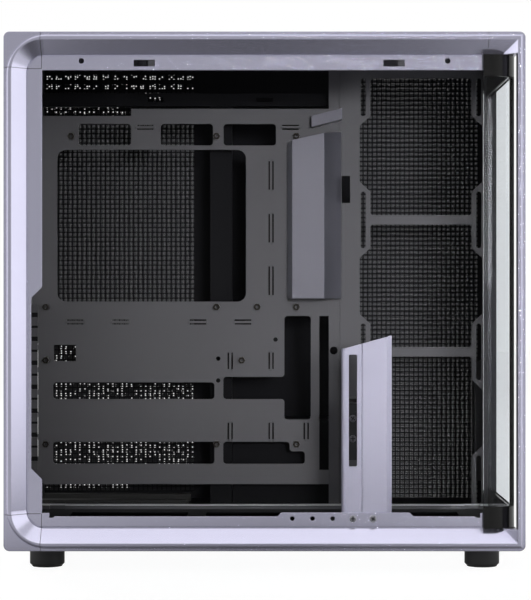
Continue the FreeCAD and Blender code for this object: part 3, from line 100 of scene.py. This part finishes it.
# Screws, in millimetres; the head's outline is in shares of its radius and height, the lean in radians
HEAD_RADIUS = 2.9
HEAD_HEIGHT = 1.8
HEAD_OUTLINE = ((1.0, 0.0), (1.0, 0.45), (0.93, 0.75), (0.75, 0.95), (0.55, 1.0))
SHANK_RADIUS = 1.45
RECESS_WIDTH = 1.0
RECESS_REACH = 2.05
RECESS_DEPTH = 1.1
RECESS_LIP = 0.2
RECESS_SLACK = 0.05
SCREW_STEPS = 32
SCREW_LEAN = 0.6

# Noise of the surfaces: octaves, waves per metre, and the depth of the grain in millimetres
NOISE_DETAIL = 3.0
DRIFT_SCALE = 9.0
GLASS_DRIFT = 14.0
GLASS_SMEAR = 60.0
YARN_SCALE = 900.0
GRAIN_DEPTH = 0.1

# Camera, with its lens in millimetres and its place in metres
FOCAL_LENGTH = 124.1
SENSOR_WIDTH = 36.0
CAMERA_PLACE = (0.0008, -1.8425, 0.2229)

# Floor: size and the reach of its shine in metres, brightness and colours
FLOOR_SIZE = 14.0
FLOOR_GLOW = 0.95
FLOOR_VEIL = (0.16, 0.16, 0.16, 1)
FLOOR_GREY = (0.25, 0.25, 0.26, 1)
SHINE_START = 0.25
SHINE_END = 0.5
SHINE_NEAR = 0.16

# Middle of the key light's pool, in metres, and its full angle in degrees
KEY_TARGET = (0.06, 0.0, 0.24)
KEY_SPREAD = 17.5

# Studio: light that it casts, brightness in front as surfaces mirror it, and where it is fully bright
FILL_LIGHT = 0.06
MIRROR_DIM = 0.42
MIRROR_FULL = 0.9


# Small helpers for node trees; settings that start with in_ go to the node's inputs
class Tree:
    def __init__(self, owner):
        owner.use_nodes = True
        self.tree = owner.node_tree
        self.tree.nodes.clear()

    def add(self, kind, **settings):
        node = self.tree.nodes.new(kind)
        for name, value in settings.items():
            if name.startswith("in_"):
                self.feed(node.inputs[name[3:].replace("_", " ")], value)
            else:
                setattr(node, name, value)
        return node

    def feed(self, socket, value):
        if isinstance(value, bpy.types.NodeSocket):
            self.tree.links.new(value, socket)
        else:
            socket.default_value = value

    def math(self, operation, *values):
        node = self.add("ShaderNodeMath", operation=operation)
        for socket, value in zip(node.inputs, values):
            self.feed(socket, value)
        return node.outputs["Value"]

    def within(self, value, low, high):
        return self.math("COMPARE", value, (low + high) / 2 * MM, (high - low) / 2 * MM)

    def mix(self, share, first, second):
        node = self.add("ShaderNodeMixShader", in_Fac=share)
        self.feed(node.inputs[1], first)
        self.feed(node.inputs[2], second)
        return node.outputs["Shader"]

    def place(self, space="Object"):
        where = self.add("ShaderNodeTexCoord")
        split = self.add("ShaderNodeSeparateXYZ", in_Vector=where.outputs[space])
        return split.outputs["X"], split.outputs["Y"], split.outputs["Z"]


def place_noise(tree, scale, stretch=(1, 1, 1)):
    where = tree.add("ShaderNodeTexCoord")
    spread = tree.add("ShaderNodeMapping", in_Scale=stretch, in_Vector=where.outputs["Object"])
    noise = tree.add("ShaderNodeTexNoise", in_Scale=scale, in_Detail=NOISE_DETAIL)
    tree.feed(noise.inputs["Vector"], spread.outputs["Vector"])
    return noise.outputs["Fac"]


def between(tree, source, low, high):
    spread = tree.add("ShaderNodeMapRange", in_To_Min=low, in_To_Max=high, in_Value=source)
    return spread.outputs["Result"]


def blend_colours(tree, share, first, second):
    mix = tree.add("ShaderNodeMix", data_type="RGBA", in_Factor=share)
    for name, value in (("A", first), ("B", second)):
        linked = isinstance(value, bpy.types.NodeSocket)
        tree.feed(mix.inputs[name], value if linked else (*value, 1))
    return mix.outputs["Result"]


# Thin dark lines where the rear corners of the side frame meet its rails
def seam(tree, value, level):
    return tree.math("COMPARE", value, level * MM, SEAM_WIDTH / 2 * MM)


def seam_lines(tree):
    x, _, z = tree.place()
    height = tree.math("ABSOLUTE", tree.math("SUBTRACT", z, SEAM_MIDDLE * MM))
    outer = tree.math("GREATER_THAN", height, SEAM_RISE * MM)
    behind = tree.math("LESS_THAN", x, SEAM_REAR * MM)
    top = tree.math("GREATER_THAN", z, SEAM_TOP * MM)
    upright = tree.math("MULTIPLY", seam(tree, x, SEAM_REAR), outer)
    level = tree.math("MULTIPLY", seam(tree, height, SEAM_RISE), behind)
    front = tree.math("MULTIPLY", seam(tree, x, SEAM_FRONT), top)
    return tree.math("MAXIMUM", tree.math("MAXIMUM", upright, level), front)


# Inner flange of the front panel, left dark behind the glass
def inner_flange(tree):
    _, y, _ = tree.place()
    return tree.math("LESS_THAN", y, FLANGE_DEPTH * MM)


# Painted highlight along the floor rail's top: a pale band standing in for light from above
def rail_top_painted_highlight(tree):
    _, _, z = tree.place()
    return tree.math("GREATER_THAN", z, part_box("floor_rail")[1].z - RAIL_HIGHLIGHT_BAND * MM)


# A coated or moulded surface: drift of colour, fine grain, softened edges, another tone where masked
def surface(name, colour, shade, metallic, rough, grain, stretch=(1, 1, 1),
            lift=0.05, edge=0.6, gloss=0.5, mask=None, tone=None):
    material = bpy.data.materials.new(name)
    tree = Tree(material)
    fine = place_noise(tree, grain, stretch)
    paint = blend_colours(tree, place_noise(tree, DRIFT_SCALE), colour, shade)
    if mask:
        paint = blend_colours(tree, mask(tree), paint, tone)
    soft = tree.add("ShaderNodeBevel", samples=4, in_Radius=edge * MM)
    bump = tree.add("ShaderNodeBump", in_Strength=lift, in_Distance=GRAIN_DEPTH * MM)
    tree.feed(bump.inputs["Height"], fine)
    tree.feed(bump.inputs["Normal"], soft.outputs["Normal"])
    shader = tree.add(
        "ShaderNodeBsdfPrincipled",
        in_Base_Color=paint,
        in_Metallic=metallic,
        in_Roughness=between(tree, fine, *rough),
        in_Specular_IOR_Level=gloss,
        in_Normal=bump.outputs["Normal"],
    )
    tree.add("ShaderNodeOutputMaterial", in_Surface=shader.outputs["BSDF"])
    return material


# Thin clear pane with fired black bands: light goes straight through, its polished skin reflects
def glass(name, band_low, band_high):
    material = bpy.data.materials.new(name)
    tree = Tree(material)
    smear = place_noise(tree, GLASS_SMEAR)
    tint = blend_colours(tree, place_noise(tree, GLASS_DRIFT), (0.90, 0.92, 0.93), (0.85, 0.87, 0.89))
    pane = tree.add(
        "ShaderNodeBsdfPrincipled",
        in_Base_Color=tint,
        in_IOR=1.01,
        in_Roughness=between(tree, smear, 0.0, 0.02),
        in_Transmission_Weight=1.0,
        in_Coat_Weight=0.12,
        in_Coat_IOR=1.5,
        in_Coat_Roughness=0.03,
    )
    band = tree.add(
        "ShaderNodeBsdfPrincipled",
        in_Base_Color=(0.003, 0.003, 0.003, 1),
        in_Specular_IOR_Level=0.3,
        in_Roughness=between(tree, smear, 0.16, 0.24),
    )
    _, _, z = tree.place()
    clear = tree.within(z, band_low / MM, band_high / MM)
    skin = tree.mix(clear, band.outputs["BSDF"], pane.outputs["BSDF"])
    tree.add("ShaderNodeOutputMaterial", in_Surface=skin)
    return material


# Middle part of the cloth, which is woven more densely than its ends
def dense_zone(tree, low, high):
    _, _, z = tree.place()
    return tree.within(z, low, high)


# Where the rear cloth is shut off: behind the top rail, ahead of the gap under it, and at the sill
def shut_zone(tree, gap_low):
    x, _, z = tree.place()
    rail = tree.within(z, RAIL_LOW, RAIL_HIGH)
    rail = tree.math("SUBTRACT", rail, tree.math("MULTIPLY", rail, tree.within(x, *RAIL_SLOT)))
    ahead = tree.math("GREATER_THAN", x, GAP_FRONT * MM)
    gap = tree.math("MULTIPLY", tree.within(z, gap_low, RAIL_LOW), ahead)
    sill = tree.math("MULTIPLY", tree.math("LESS_THAN", z, SILL_HIGH * MM), ahead)
    sill = tree.math("MAXIMUM", sill, tree.math("LESS_THAN", z, SILL_LOW * MM))
    shut = tree.math("MAXIMUM", tree.math("MAXIMUM", rail, gap), sill)
    return tree.math("MULTIPLY", shut, tree.math("LESS_THAN", x, 0.0))


# Light through the cloth: dim and even where it is dense, bright and scattered at its ends
def openness(tree, low, high, chance):
    dense = dense_zone(tree, low, high)
    kept = tree.math("MULTIPLY", tree.math("GREATER_THAN", chance, CLOTH_LOST), OPEN_LIGHT)
    ends = tree.math("MULTIPLY", tree.math("SUBTRACT", 1.0, dense), kept)
    light = tree.math("ADD", ends, tree.math("MULTIPLY", dense, DENSE_LIGHT))
    return tree.math("SUBTRACT", light, shut_zone(tree, high))


# Woven filter: dark threads with light between them
def filter_cloth(name, low, high):
    material = bpy.data.materials.new(name)
    tree = Tree(material)
    weave = place_noise(tree, YARN_SCALE)
    thin_yarn = blend_colours(tree, weave, (0.005, 0.005, 0.006), (0.011, 0.011, 0.012))
    thick_yarn = blend_colours(tree, weave, (0.030, 0.030, 0.033), (0.046, 0.046, 0.050))
    yarn = blend_colours(tree, dense_zone(tree, low, high), thin_yarn, thick_yarn)
    threads = tree.add("ShaderNodeBsdfPrincipled", in_Base_Color=yarn, in_Roughness=0.8)
    x, _, z = tree.place()
    flat = tree.add("ShaderNodeCombineXYZ", in_X=x, in_Y=z)
    grid = tree.add(
        "ShaderNodeTexVoronoi",
        voronoi_dimensions="2D",
        in_Vector=flat.outputs["Vector"],
        in_Scale=1 / (CLOTH_PITCH * MM),
        in_Randomness=CLOTH_SCATTER,
    )
    hole = tree.math("LESS_THAN", grid.outputs["Distance"], CLOTH_HOLE)
    chance = tree.add("ShaderNodeSeparateColor", in_Color=grid.outputs["Color"])
    light = tree.math("MULTIPLY", hole, openness(tree, low, high, chance.outputs["Red"]))
    gap = tree.add("ShaderNodeBsdfTransparent")
    weft = tree.mix(light, threads.outputs["BSDF"], gap.outputs["BSDF"])
    tree.add("ShaderNodeOutputMaterial", in_Surface=weft)
    return material


SILVER = (0.58, 0.572, 0.715)
SILVER_SHADE = (0.55, 0.542, 0.68)


def silver(name, **marks):
    return surface(
        name, SILVER, SILVER_SHADE,
        metallic=0.85, rough=(0.17, 0.27), grain=2400.0, lift=0.03, edge=0.9, **marks)


MATERIALS = {
    "silver_aluminium": silver("anodised_silver"),
    "button_metal": surface(
        "turned_button", SILVER, SILVER_SHADE,
        metallic=0.85, rough=(0.22, 0.36), grain=900.0, stretch=(0.05, 1, 1)),
    "dark_steel": surface(
        "powder_coat", (0.080, 0.079, 0.086), (0.068, 0.067, 0.073),
        metallic=0.0, rough=(0.44, 0.56), grain=1500.0, lift=0.10, gloss=0.3),
    "grey_aluminium": surface(
        "grey_anodised", (0.30, 0.297, 0.345), (0.26, 0.257, 0.305),
        metallic=0.9, rough=(0.28, 0.38), grain=2200.0, lift=0.04, edge=0.9),
    "black_plastic": surface(
        "moulded_black", (0.012, 0.012, 0.013), (0.020, 0.020, 0.021),
        metallic=0.0, rough=(0.30, 0.44), grain=1100.0, lift=0.08),
    "rubber": surface(
        "soft_rubber", (0.015, 0.015, 0.015), (0.026, 0.026, 0.026),
        metallic=0.0, rough=(0.70, 0.88), grain=700.0, lift=0.15),
    "screw_steel": surface(
        "screw_steel", (0.40, 0.40, 0.43), (0.34, 0.34, 0.37),
        metallic=0.7, rough=(0.22, 0.38), grain=1600.0, edge=0.25),
    "clear_glass": glass(
        "clear_glass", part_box("glass_band_bottom")[1].z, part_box("glass_band_top")[0].z),
    "black_band": surface(
        "fired_black_band", (0.004, 0.004, 0.005), (0.009, 0.009, 0.010),
        metallic=0.0, rough=(0.10, 0.18), grain=300.0, lift=0.01),
    "brass": surface(
        "dark_brass", (0.050, 0.045, 0.040), (0.035, 0.032, 0.028),
        metallic=0.9, rough=(0.30, 0.44), grain=1300.0, edge=0.3),
    "arm_steel": surface(
        "arm_black", (0.006, 0.006, 0.007), (0.010, 0.010, 0.011),
        metallic=0.0, rough=(0.40, 0.55), grain=1500.0, lift=0.10, gloss=0.15),
}
# Near black standing in for shade: painted shade at the back, inside the right panel and in the screws'
# recesses
PAINTED_SHADE_BLACK = surface(
    "painted_shade_black", (0.007, 0.007, 0.008), (0.005, 0.005, 0.006),
    metallic=0.0, rough=(0.55, 0.68), grain=1500.0, lift=0.10, gloss=0.15)
# A copy of the screw steel darkened as painted shade, for the screws on the card arm behind the holder
SHADED_SCREW_STEEL = surface(
    "screw_steel_painted_shade", (0.10, 0.10, 0.11), (0.08, 0.08, 0.09),
    metallic=0.7, rough=(0.26, 0.40), grain=1600.0, edge=0.25)

# Nodes whose look departs from their slot's, among them those at the back, painted near black as shade
BACK_NODES = (
    "drive_bracket", "drive_cage", "chassis_rail", "slot_shelf",
    "floor_panel", "top_fan_bracket", "glass_header")
NODE_MATERIALS = {
    "side_frame": silver("seamed_silver", mask=seam_lines, tone=(0.19, 0.19, 0.21)),
    "front_panel": silver("flanged_silver", mask=inner_flange, tone=(0.05, 0.05, 0.055)),
    "card_holder": surface(
        "blasted_silver", (0.42, 0.413, 0.525), (0.40, 0.393, 0.50),
        metallic=0.3, rough=(0.30, 0.40), grain=2000.0, lift=0.04, edge=0.9),
    # Floor rail, with a pale band along its top as a painted highlight
    "floor_rail": surface(
        "grey_painted_top_highlight", (0.22, 0.22, 0.24), (0.19, 0.19, 0.21),
        metallic=0.9, rough=(0.28, 0.38), grain=2200.0, lift=0.04,
        mask=rail_top_painted_highlight, tone=(0.88, 0.88, 0.90)),
    **dict.fromkeys(BACK_NODES, PAINTED_SHADE_BLACK),
}


def dress_nodes():
    for part in frame["record"]["subparts"]:
        name = part["node"]
        mesh = nodes[name].data
        mesh.materials.clear()
        mesh.materials.append(NODE_MATERIALS.get(name, MATERIALS[part["material_slot"]]))


def as_mesh(name, shape, *materials):
    mesh = bpy.data.meshes.new(name)
    shape.to_mesh(mesh)
    shape.free()
    for material in materials:
        mesh.materials.append(material)
    return mesh


def as_object(name, data):
    item = bpy.data.objects.new(name, data)
    bpy.context.scene.collection.objects.link(item)
    return item


def add_piece(name, mesh, body, slot, *replaced):
    piece = as_object(name, mesh)
    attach(piece, body)
    if replaced:
        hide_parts(*replaced)


# Flat layout of a perforated plate in X and Z; neighbouring faces share their corners
class Layout:
    def __init__(self, depth):
        self.shape = bmesh.new()
        self.depth = depth
        self.known = {}

    def point(self, x, z):
        key = (round(x, 3), round(z, 3))
        if key not in self.known:
            self.known[key] = self.shape.verts.new((x * MM, self.depth * MM, z * MM))
        return self.known[key]

    def face(self, outline):
        self.shape.faces.new([self.point(x, z) for x, z in outline])

    def cell(self, left, right, low, high, share, below):
        middle = Vector(((left + right) / 2, (low + high) / 2))
        corners = [Vector(spot) for spot in ((left, low), (right, low), (right, high), (left, high))]
        hole = [middle + (corner - middle) * Vector(share) for corner in corners]
        for index in range(4):
            after = (index + 1) % 4
            extra = [(x, low) for x in below] if index == 0 else []
            self.face([corners[index], *extra, corners[after], hole[after], hole[index]])

    def thicken(self, gauge):
        result = bmesh.ops.extrude_face_region(self.shape, geom=self.shape.faces[:], use_keep_orig=True)
        moved = [item for item in result["geom"] if isinstance(item, bmesh.types.BMVert)]
        bmesh.ops.translate(self.shape, verts=moved, vec=(0, gauge * MM, 0))
        bmesh.ops.recalc_face_normals(self.shape, faces=self.shape.faces)


def steps(start, end, pitch):
    count = round((end - start) / pitch)
    return [start + (end - start) * index / count for index in range(count + 1)]


# Grid lines of the two fields; the rear field ends in a few coarser rows
STEP_UP = FIELD_HIGH - TOP_ROWS * TOP_ROW_PITCH
REAR_COLUMNS = steps(*REAR_FIELD, HOLE_PITCH)
TOP_COLUMNS = REAR_COLUMNS[::2]
FRONT_COLUMNS = steps(*FRONT_FIELD, HOLE_PITCH)
FINE_LEVELS = steps(REAR_LOW, STEP_UP, HOLE_PITCH)
TOP_LEVELS = steps(STEP_UP, FIELD_HIGH, TOP_ROW_PITCH)
FRONT_LEVELS = steps(FRONT_LOW, FIELD_HIGH, HOLE_PITCH)


def fill_field(layout, columns, rows, share, finer=()):
    for low, high in zip(rows, rows[1:]):
        for left, right in zip(columns, columns[1:]):
            below = [x for x in finer if left < x < right] if low == rows[0] else []
            layout.cell(left, right, low, high, share, below)


def corner_arc(x, z, start):
    turns = [math.radians(start + 90 * index / CORNER_STEPS) for index in range(CORNER_STEPS + 1)]
    return [(x + CORNER_RADIUS * math.cos(turn), z + CORNER_RADIUS * math.sin(turn)) for turn in turns]


# Plain margins under the two fields, drawn so that they meet every cell's corner
def fill_lower_margins(layout, low, high):
    rear, middle_rear = REAR_FIELD
    bottom_rear = corner_arc(low.x + CORNER_RADIUS, low.z + CORNER_RADIUS, 180)
    bottom_front = corner_arc(high.x - CORNER_RADIUS, low.z + CORNER_RADIUS, 270)
    under = [(x, FRONT_LOW) for x in [*FRONT_COLUMNS[::-1], middle_rear, rear]]
    layout.face([*bottom_rear, *bottom_front, (high.x, FRONT_LOW), *under, (low.x, FRONT_LOW)])
    sill = [(x, REAR_LOW) for x in REAR_COLUMNS[::-1]]
    layout.face([(rear, FRONT_LOW), (middle_rear, FRONT_LOW), *sill])


# Plain margins behind, between, ahead of and above the fields, which meet the cells in the same way
def fill_upper_margins(layout, low, high):
    rear, middle_rear = REAR_FIELD
    middle_front, front = FRONT_FIELD
    rear_levels = FINE_LEVELS + TOP_LEVELS[1:]
    top_front = corner_arc(high.x - CORNER_RADIUS, high.z - CORNER_RADIUS, 0)
    top_rear = corner_arc(low.x + CORNER_RADIUS, high.z - CORNER_RADIUS, 90)
    rise = FIELD_HIGH - high.z + CORNER_RADIUS
    waist = CORNER_RADIUS - math.sqrt(CORNER_RADIUS ** 2 - rise ** 2)
    waist_rear = (low.x + waist, FIELD_HIGH)
    waist_front = (high.x - waist, FIELD_HIGH)

    rear_edge = [(rear, z) for z in rear_levels]
    rear_corner = [spot for spot in top_rear if spot[1] < FIELD_HIGH]
    layout.face([(low.x, FRONT_LOW), (rear, FRONT_LOW), *rear_edge, waist_rear, *rear_corner])

    rising = [(middle_front, z) for z in FRONT_LEVELS[1:]]
    falling = [(middle_rear, z) for z in rear_levels[::-1]]
    layout.face([(middle_rear, FRONT_LOW), (middle_front, FRONT_LOW), *rising, *falling])

    front_edge = [(front, z) for z in FRONT_LEVELS[:0:-1]]
    front_corner = [spot for spot in top_front if spot[1] < FIELD_HIGH]
    layout.face([(front, FRONT_LOW), (high.x, FRONT_LOW), *front_corner, waist_front, *front_edge])

    over = [(x, FIELD_HIGH) for x in [*TOP_COLUMNS, *FRONT_COLUMNS]]
    crown = [spot for spot in top_front + top_rear if spot[1] > FIELD_HIGH]
    layout.face([waist_rear, *over, waist_front, *crown])


# Right panel with its fine holes: painted near black inside as shade, coated like the tray outside
def perforated_panel():
    low, high = (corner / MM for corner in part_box("right_panel"))
    layout = Layout(low.y)
    fill_field(layout, REAR_COLUMNS, FINE_LEVELS, HOLE_SHARE)
    fill_field(layout, TOP_COLUMNS, TOP_LEVELS, TOP_ROW_SHARE, REAR_COLUMNS)
    fill_field(layout, FRONT_COLUMNS, FRONT_LEVELS, HOLE_SHARE)
    fill_lower_margins(layout, low, high)
    fill_upper_margins(layout, low, high)
    layout.thicken(high.y - low.y)
    mesh = as_mesh("perforated_panel", layout.shape, PAINTED_SHADE_BLACK, MATERIALS["dark_steel"])
    # Faces towards +Y take the tray's coat; every other face gets the painted shade
    for face in mesh.polygons:
        face.material_index = int(face.normal.y > 0.5)
    add_piece("perforated_panel", mesh, "root", "dark_steel", "right_panel")


# Filter sheets held in the thickness of the right panel
def filter_sheet(name, across, bottom, cloth):
    low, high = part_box("right_panel")
    rear, front = across
    layout = Layout((low.y + high.y) / 2 / MM - CLOTH_GAUGE / 2)
    layout.face([(rear, bottom), (front, bottom), (front, FIELD_HIGH), (rear, FIELD_HIGH)])
    layout.thicken(CLOTH_GAUGE)
    add_piece(name, as_mesh(name, layout.shape, cloth), "root", "dark_steel")


# Screws with domed heads and a cross recess, turned about Y with the head towards -Y
def turned(profile):
    shape = bmesh.new()
    rings = []
    for radius, height in profile:
        ring = []
        for index in range(SCREW_STEPS):
            turn = 2 * math.pi * index / SCREW_STEPS
            ring.append(shape.verts.new((radius * math.cos(turn), -height, radius * math.sin(turn))))
        rings.append(ring)
    for lower, upper in zip(rings, rings[1:]):
        for index in range(SCREW_STEPS):
            after = (index + 1) % SCREW_STEPS
            shape.faces.new((lower[index], lower[after], upper[after], upper[index]))
    shape.faces.new(rings[0][::-1])
    shape.faces.new(rings[-1])
    bmesh.ops.recalc_face_normals(shape, faces=shape.faces)
    return shape


def cross_recess():
    shape = bmesh.new()
    for wide, tall in ((RECESS_REACH, RECESS_WIDTH / 2), (RECESS_WIDTH / 2, RECESS_REACH)):
        bar = bmesh.ops.create_cube(shape, size=2.0)["verts"]
        bmesh.ops.scale(shape, verts=bar, vec=(wide * MM, RECESS_DEPTH * MM, tall * MM))
        bmesh.ops.translate(shape, verts=bar, vec=(0, -HEAD_HEIGHT * MM, 0))
    return shape


def in_recess(spot):
    below_top = -spot.y < (HEAD_HEIGHT - RECESS_LIP) * MM
    above_seat = -spot.y > (HEAD_HEIGHT - RECESS_DEPTH - RECESS_SLACK) * MM
    inside = math.hypot(spot.x, spot.z) < (RECESS_REACH + RECESS_SLACK) * MM
    return below_top and above_seat and inside


def screw_mesh(shank_length):
    shank = [(SHANK_RADIUS * MM, -shank_length), (SHANK_RADIUS * MM, 0.0)]
    head = [(HEAD_RADIUS * wide * MM, HEAD_HEIGHT * tall * MM) for wide, tall in HEAD_OUTLINE]
    screw = as_object("screw_blank", as_mesh("screw_blank", turned(shank + head)))
    tool = as_object("recess_tool", as_mesh("recess_tool", cross_recess()))
    carve = screw.modifiers.new("recess", "BOOLEAN")
    carve.operation = "DIFFERENCE"
    carve.use_self = True
    carve.object = tool
    graph = bpy.context.evaluated_depsgraph_get()
    mesh = bpy.data.meshes.new_from_object(screw.evaluated_get(graph))
    # Faces in the cross recess take the second material, near black as painted shade in the recess
    for face in mesh.polygons:
        face.material_index = int(in_recess(face.center))
    bpy.data.objects.remove(screw)
    bpy.data.objects.remove(tool)
    return mesh


def screws(node, count, body, metal):
    low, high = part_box(node)
    reach = high.y - low.y - HEAD_HEIGHT * MM
    blank = screw_mesh(reach)
    head = Vector((HEAD_RADIUS, 0, HEAD_RADIUS)) * MM
    start, end = low + head, high - head
    shape = bmesh.new()
    for index in range(count):
        middle = start.lerp(end, index / (count - 1))
        lean = Matrix.Rotation(SCREW_LEAN * index, 4, "Y")
        copy = blank.copy()
        copy.transform(Matrix.Translation((middle.x, low.y + HEAD_HEIGHT * MM, middle.z)) @ lean)
        shape.from_mesh(copy)
        bpy.data.meshes.remove(copy)
    mesh = as_mesh(node + "_detailed", shape, metal, PAINTED_SHADE_BLACK)
    add_piece(node + "_detailed", mesh, body, "screw_steel", node)


# Light by what a ray is for: seen directly or through glass, mirrored by a surface, or cast on one
def by_ray(tree, seen, mirrored, cast):
    path = tree.add("ShaderNodeLightPath")
    indirect = tree.mix(path.outputs["Is Glossy Ray"], cast, mirrored)
    direct = tree.math("MAXIMUM", path.outputs["Is Camera Ray"], path.outputs["Is Transmission Ray"])
    return tree.mix(direct, indirect, seen)


# White background for the camera and through glass; surfaces mirror a studio dim below and in front
def surroundings():
    world = bpy.data.worlds.new("studio")
    bpy.context.scene.world = world
    tree = Tree(world)
    x, _, z = tree.place("Generated")
    bright = tree.math("MAXIMUM", tree.math("ABSOLUTE", x), z)
    share = tree.add("ShaderNodeMapRange", in_From_Min=0.0, in_From_Max=MIRROR_FULL, in_Value=bright)
    tone = blend_colours(tree, share.outputs["Result"], [MIRROR_DIM] * 3, (1.0, 1.0, 1.0))
    lit = []
    for power, shade in ((1.0, WHITE), (1.0, tone), (FILL_LIGHT, WHITE)):
        node = tree.add("ShaderNodeBackground", in_Strength=power, in_Color=shade)
        lit.append(node.outputs["Background"])
    tree.add("ShaderNodeOutputWorld", in_Surface=by_ray(tree, *lit))


# Brightness of the floor in reflections, a glow with the object's shadow painted in: dim near the
# object and in front, bright out to the sides
def floor_shine(tree):
    x, y, _ = tree.place()
    away = tree.math("SQRT", tree.math("ADD", tree.math("MULTIPLY", x, x), tree.math("MULTIPLY", y, y)))
    side = tree.math("DIVIDE", tree.math("ABSOLUTE", x), away)
    reach = tree.add(
        "ShaderNodeMapRange",
        in_From_Min=SHINE_START,
        in_From_Max=SHINE_END,
        in_To_Min=SHINE_NEAR,
        in_To_Max=1.0,
        in_Value=away,
    )
    return tree.math("MULTIPLY", reach.outputs["Result"], between(tree, side, MIRROR_DIM, 1.0))


# Pale floor: near white to the camera with the object's faint shadow, a quiet grey for other light
def pale_floor():
    material = bpy.data.materials.new("pale_floor")
    tree = Tree(material)
    glow = tree.add("ShaderNodeEmission", in_Strength=FLOOR_GLOW)
    veil = tree.add("ShaderNodeBsdfDiffuse", in_Color=FLOOR_VEIL)
    pale = tree.add("ShaderNodeAddShader")
    tree.feed(pale.inputs[0], glow.outputs["Emission"])
    tree.feed(pale.inputs[1], veil.outputs["BSDF"])
    quiet = tree.add("ShaderNodeBsdfDiffuse", in_Color=FLOOR_GREY)
    shine = tree.add("ShaderNodeEmission", in_Strength=floor_shine(tree))
    light = by_ray(tree, pale.outputs["Shader"], shine.outputs["Emission"], quiet.outputs["BSDF"])
    tree.add("ShaderNodeOutputMaterial", in_Surface=light)
    return material


def floor():
    shape = bmesh.new()
    bmesh.ops.create_grid(shape, x_segments=1, y_segments=1, size=FLOOR_SIZE / 2)
    item = as_object("floor", as_mesh("floor", shape, pale_floor()))


def soft_box(name, place, target, size, power, mirrored=True, spread=180.0):
    light = bpy.data.lights.new(name, "AREA")
    light.shape = "RECTANGLE"
    light.spread = math.radians(spread)
    light.size, light.size_y = size
    light.energy = power
    item = as_object(name, light)
    item.location = place
    item.rotation_euler = (Vector(target) - Vector(place)).to_track_quat("-Z", "Y").to_euler()
    item.visible_camera = False
    item.visible_glossy = mirrored


# Lamps that light the case, and mirrored ones that draw its rim; lengths in metres, power in watts
def lights():
    centre = (0.0, 0.0, 0.22)
    rim = (0.0, -0.14, 0.22)
    soft_box(
        "key", (0.36, -2.42, 0.43), KEY_TARGET, (0.36, 0.36), 0.84, mirrored=False, spread=KEY_SPREAD)
    soft_box("cross", (-1.82, -1.64, 0.45), centre, (0.8, 0.8), 3.0, mirrored=False)
    soft_box("behind", (-1.3, 2.1, 0.9), centre, (1.2, 1.2), 36.0, mirrored=False)
    soft_box("ahead", (2.2, 0.9, 0.9), centre, (1.0, 1.0), 14.0, mirrored=False)
    soft_box("right_side", (1.6, -0.48, 0.22), rim, (0.7, 2.0), 3.0)
    soft_box("left_side", (-1.6, -0.48, 0.22), rim, (0.7, 2.0), 3.2)
    soft_box("overhead", (0.0, -0.48, 1.85), rim, (2.0, 0.7), 2.6)


def camera():
    lens = bpy.data.cameras.new("camera")
    lens.lens = FOCAL_LENGTH
    lens.sensor_width = SENSOR_WIDTH
    item = as_object("camera", lens)
    item.location = CAMERA_PLACE
    item.rotation_euler = (math.pi / 2, 0, 0)
    bpy.context.scene.camera = item


dress_nodes()
perforated_panel()
filter_sheet("filter_rear", REAR_FIELD, REAR_LOW, filter_cloth("rear_cloth", DENSE_LOW, DENSE_HIGH))
filter_sheet("filter_front", FRONT_FIELD, FRONT_LOW, filter_cloth("front_cloth", FRONT_LOW, FIELD_HIGH))
screws("slot_screws", 7, "root", MATERIALS["screw_steel"])
screws("card_holder_screws", 2, "root", MATERIALS["screw_steel"])
screws("card_arm_screws", 2, "card_arm", SHADED_SCREW_STEEL)
surroundings()
floor()
lights()
camera()
bpy.context.scene.view_settings.view_transform = "Standard"
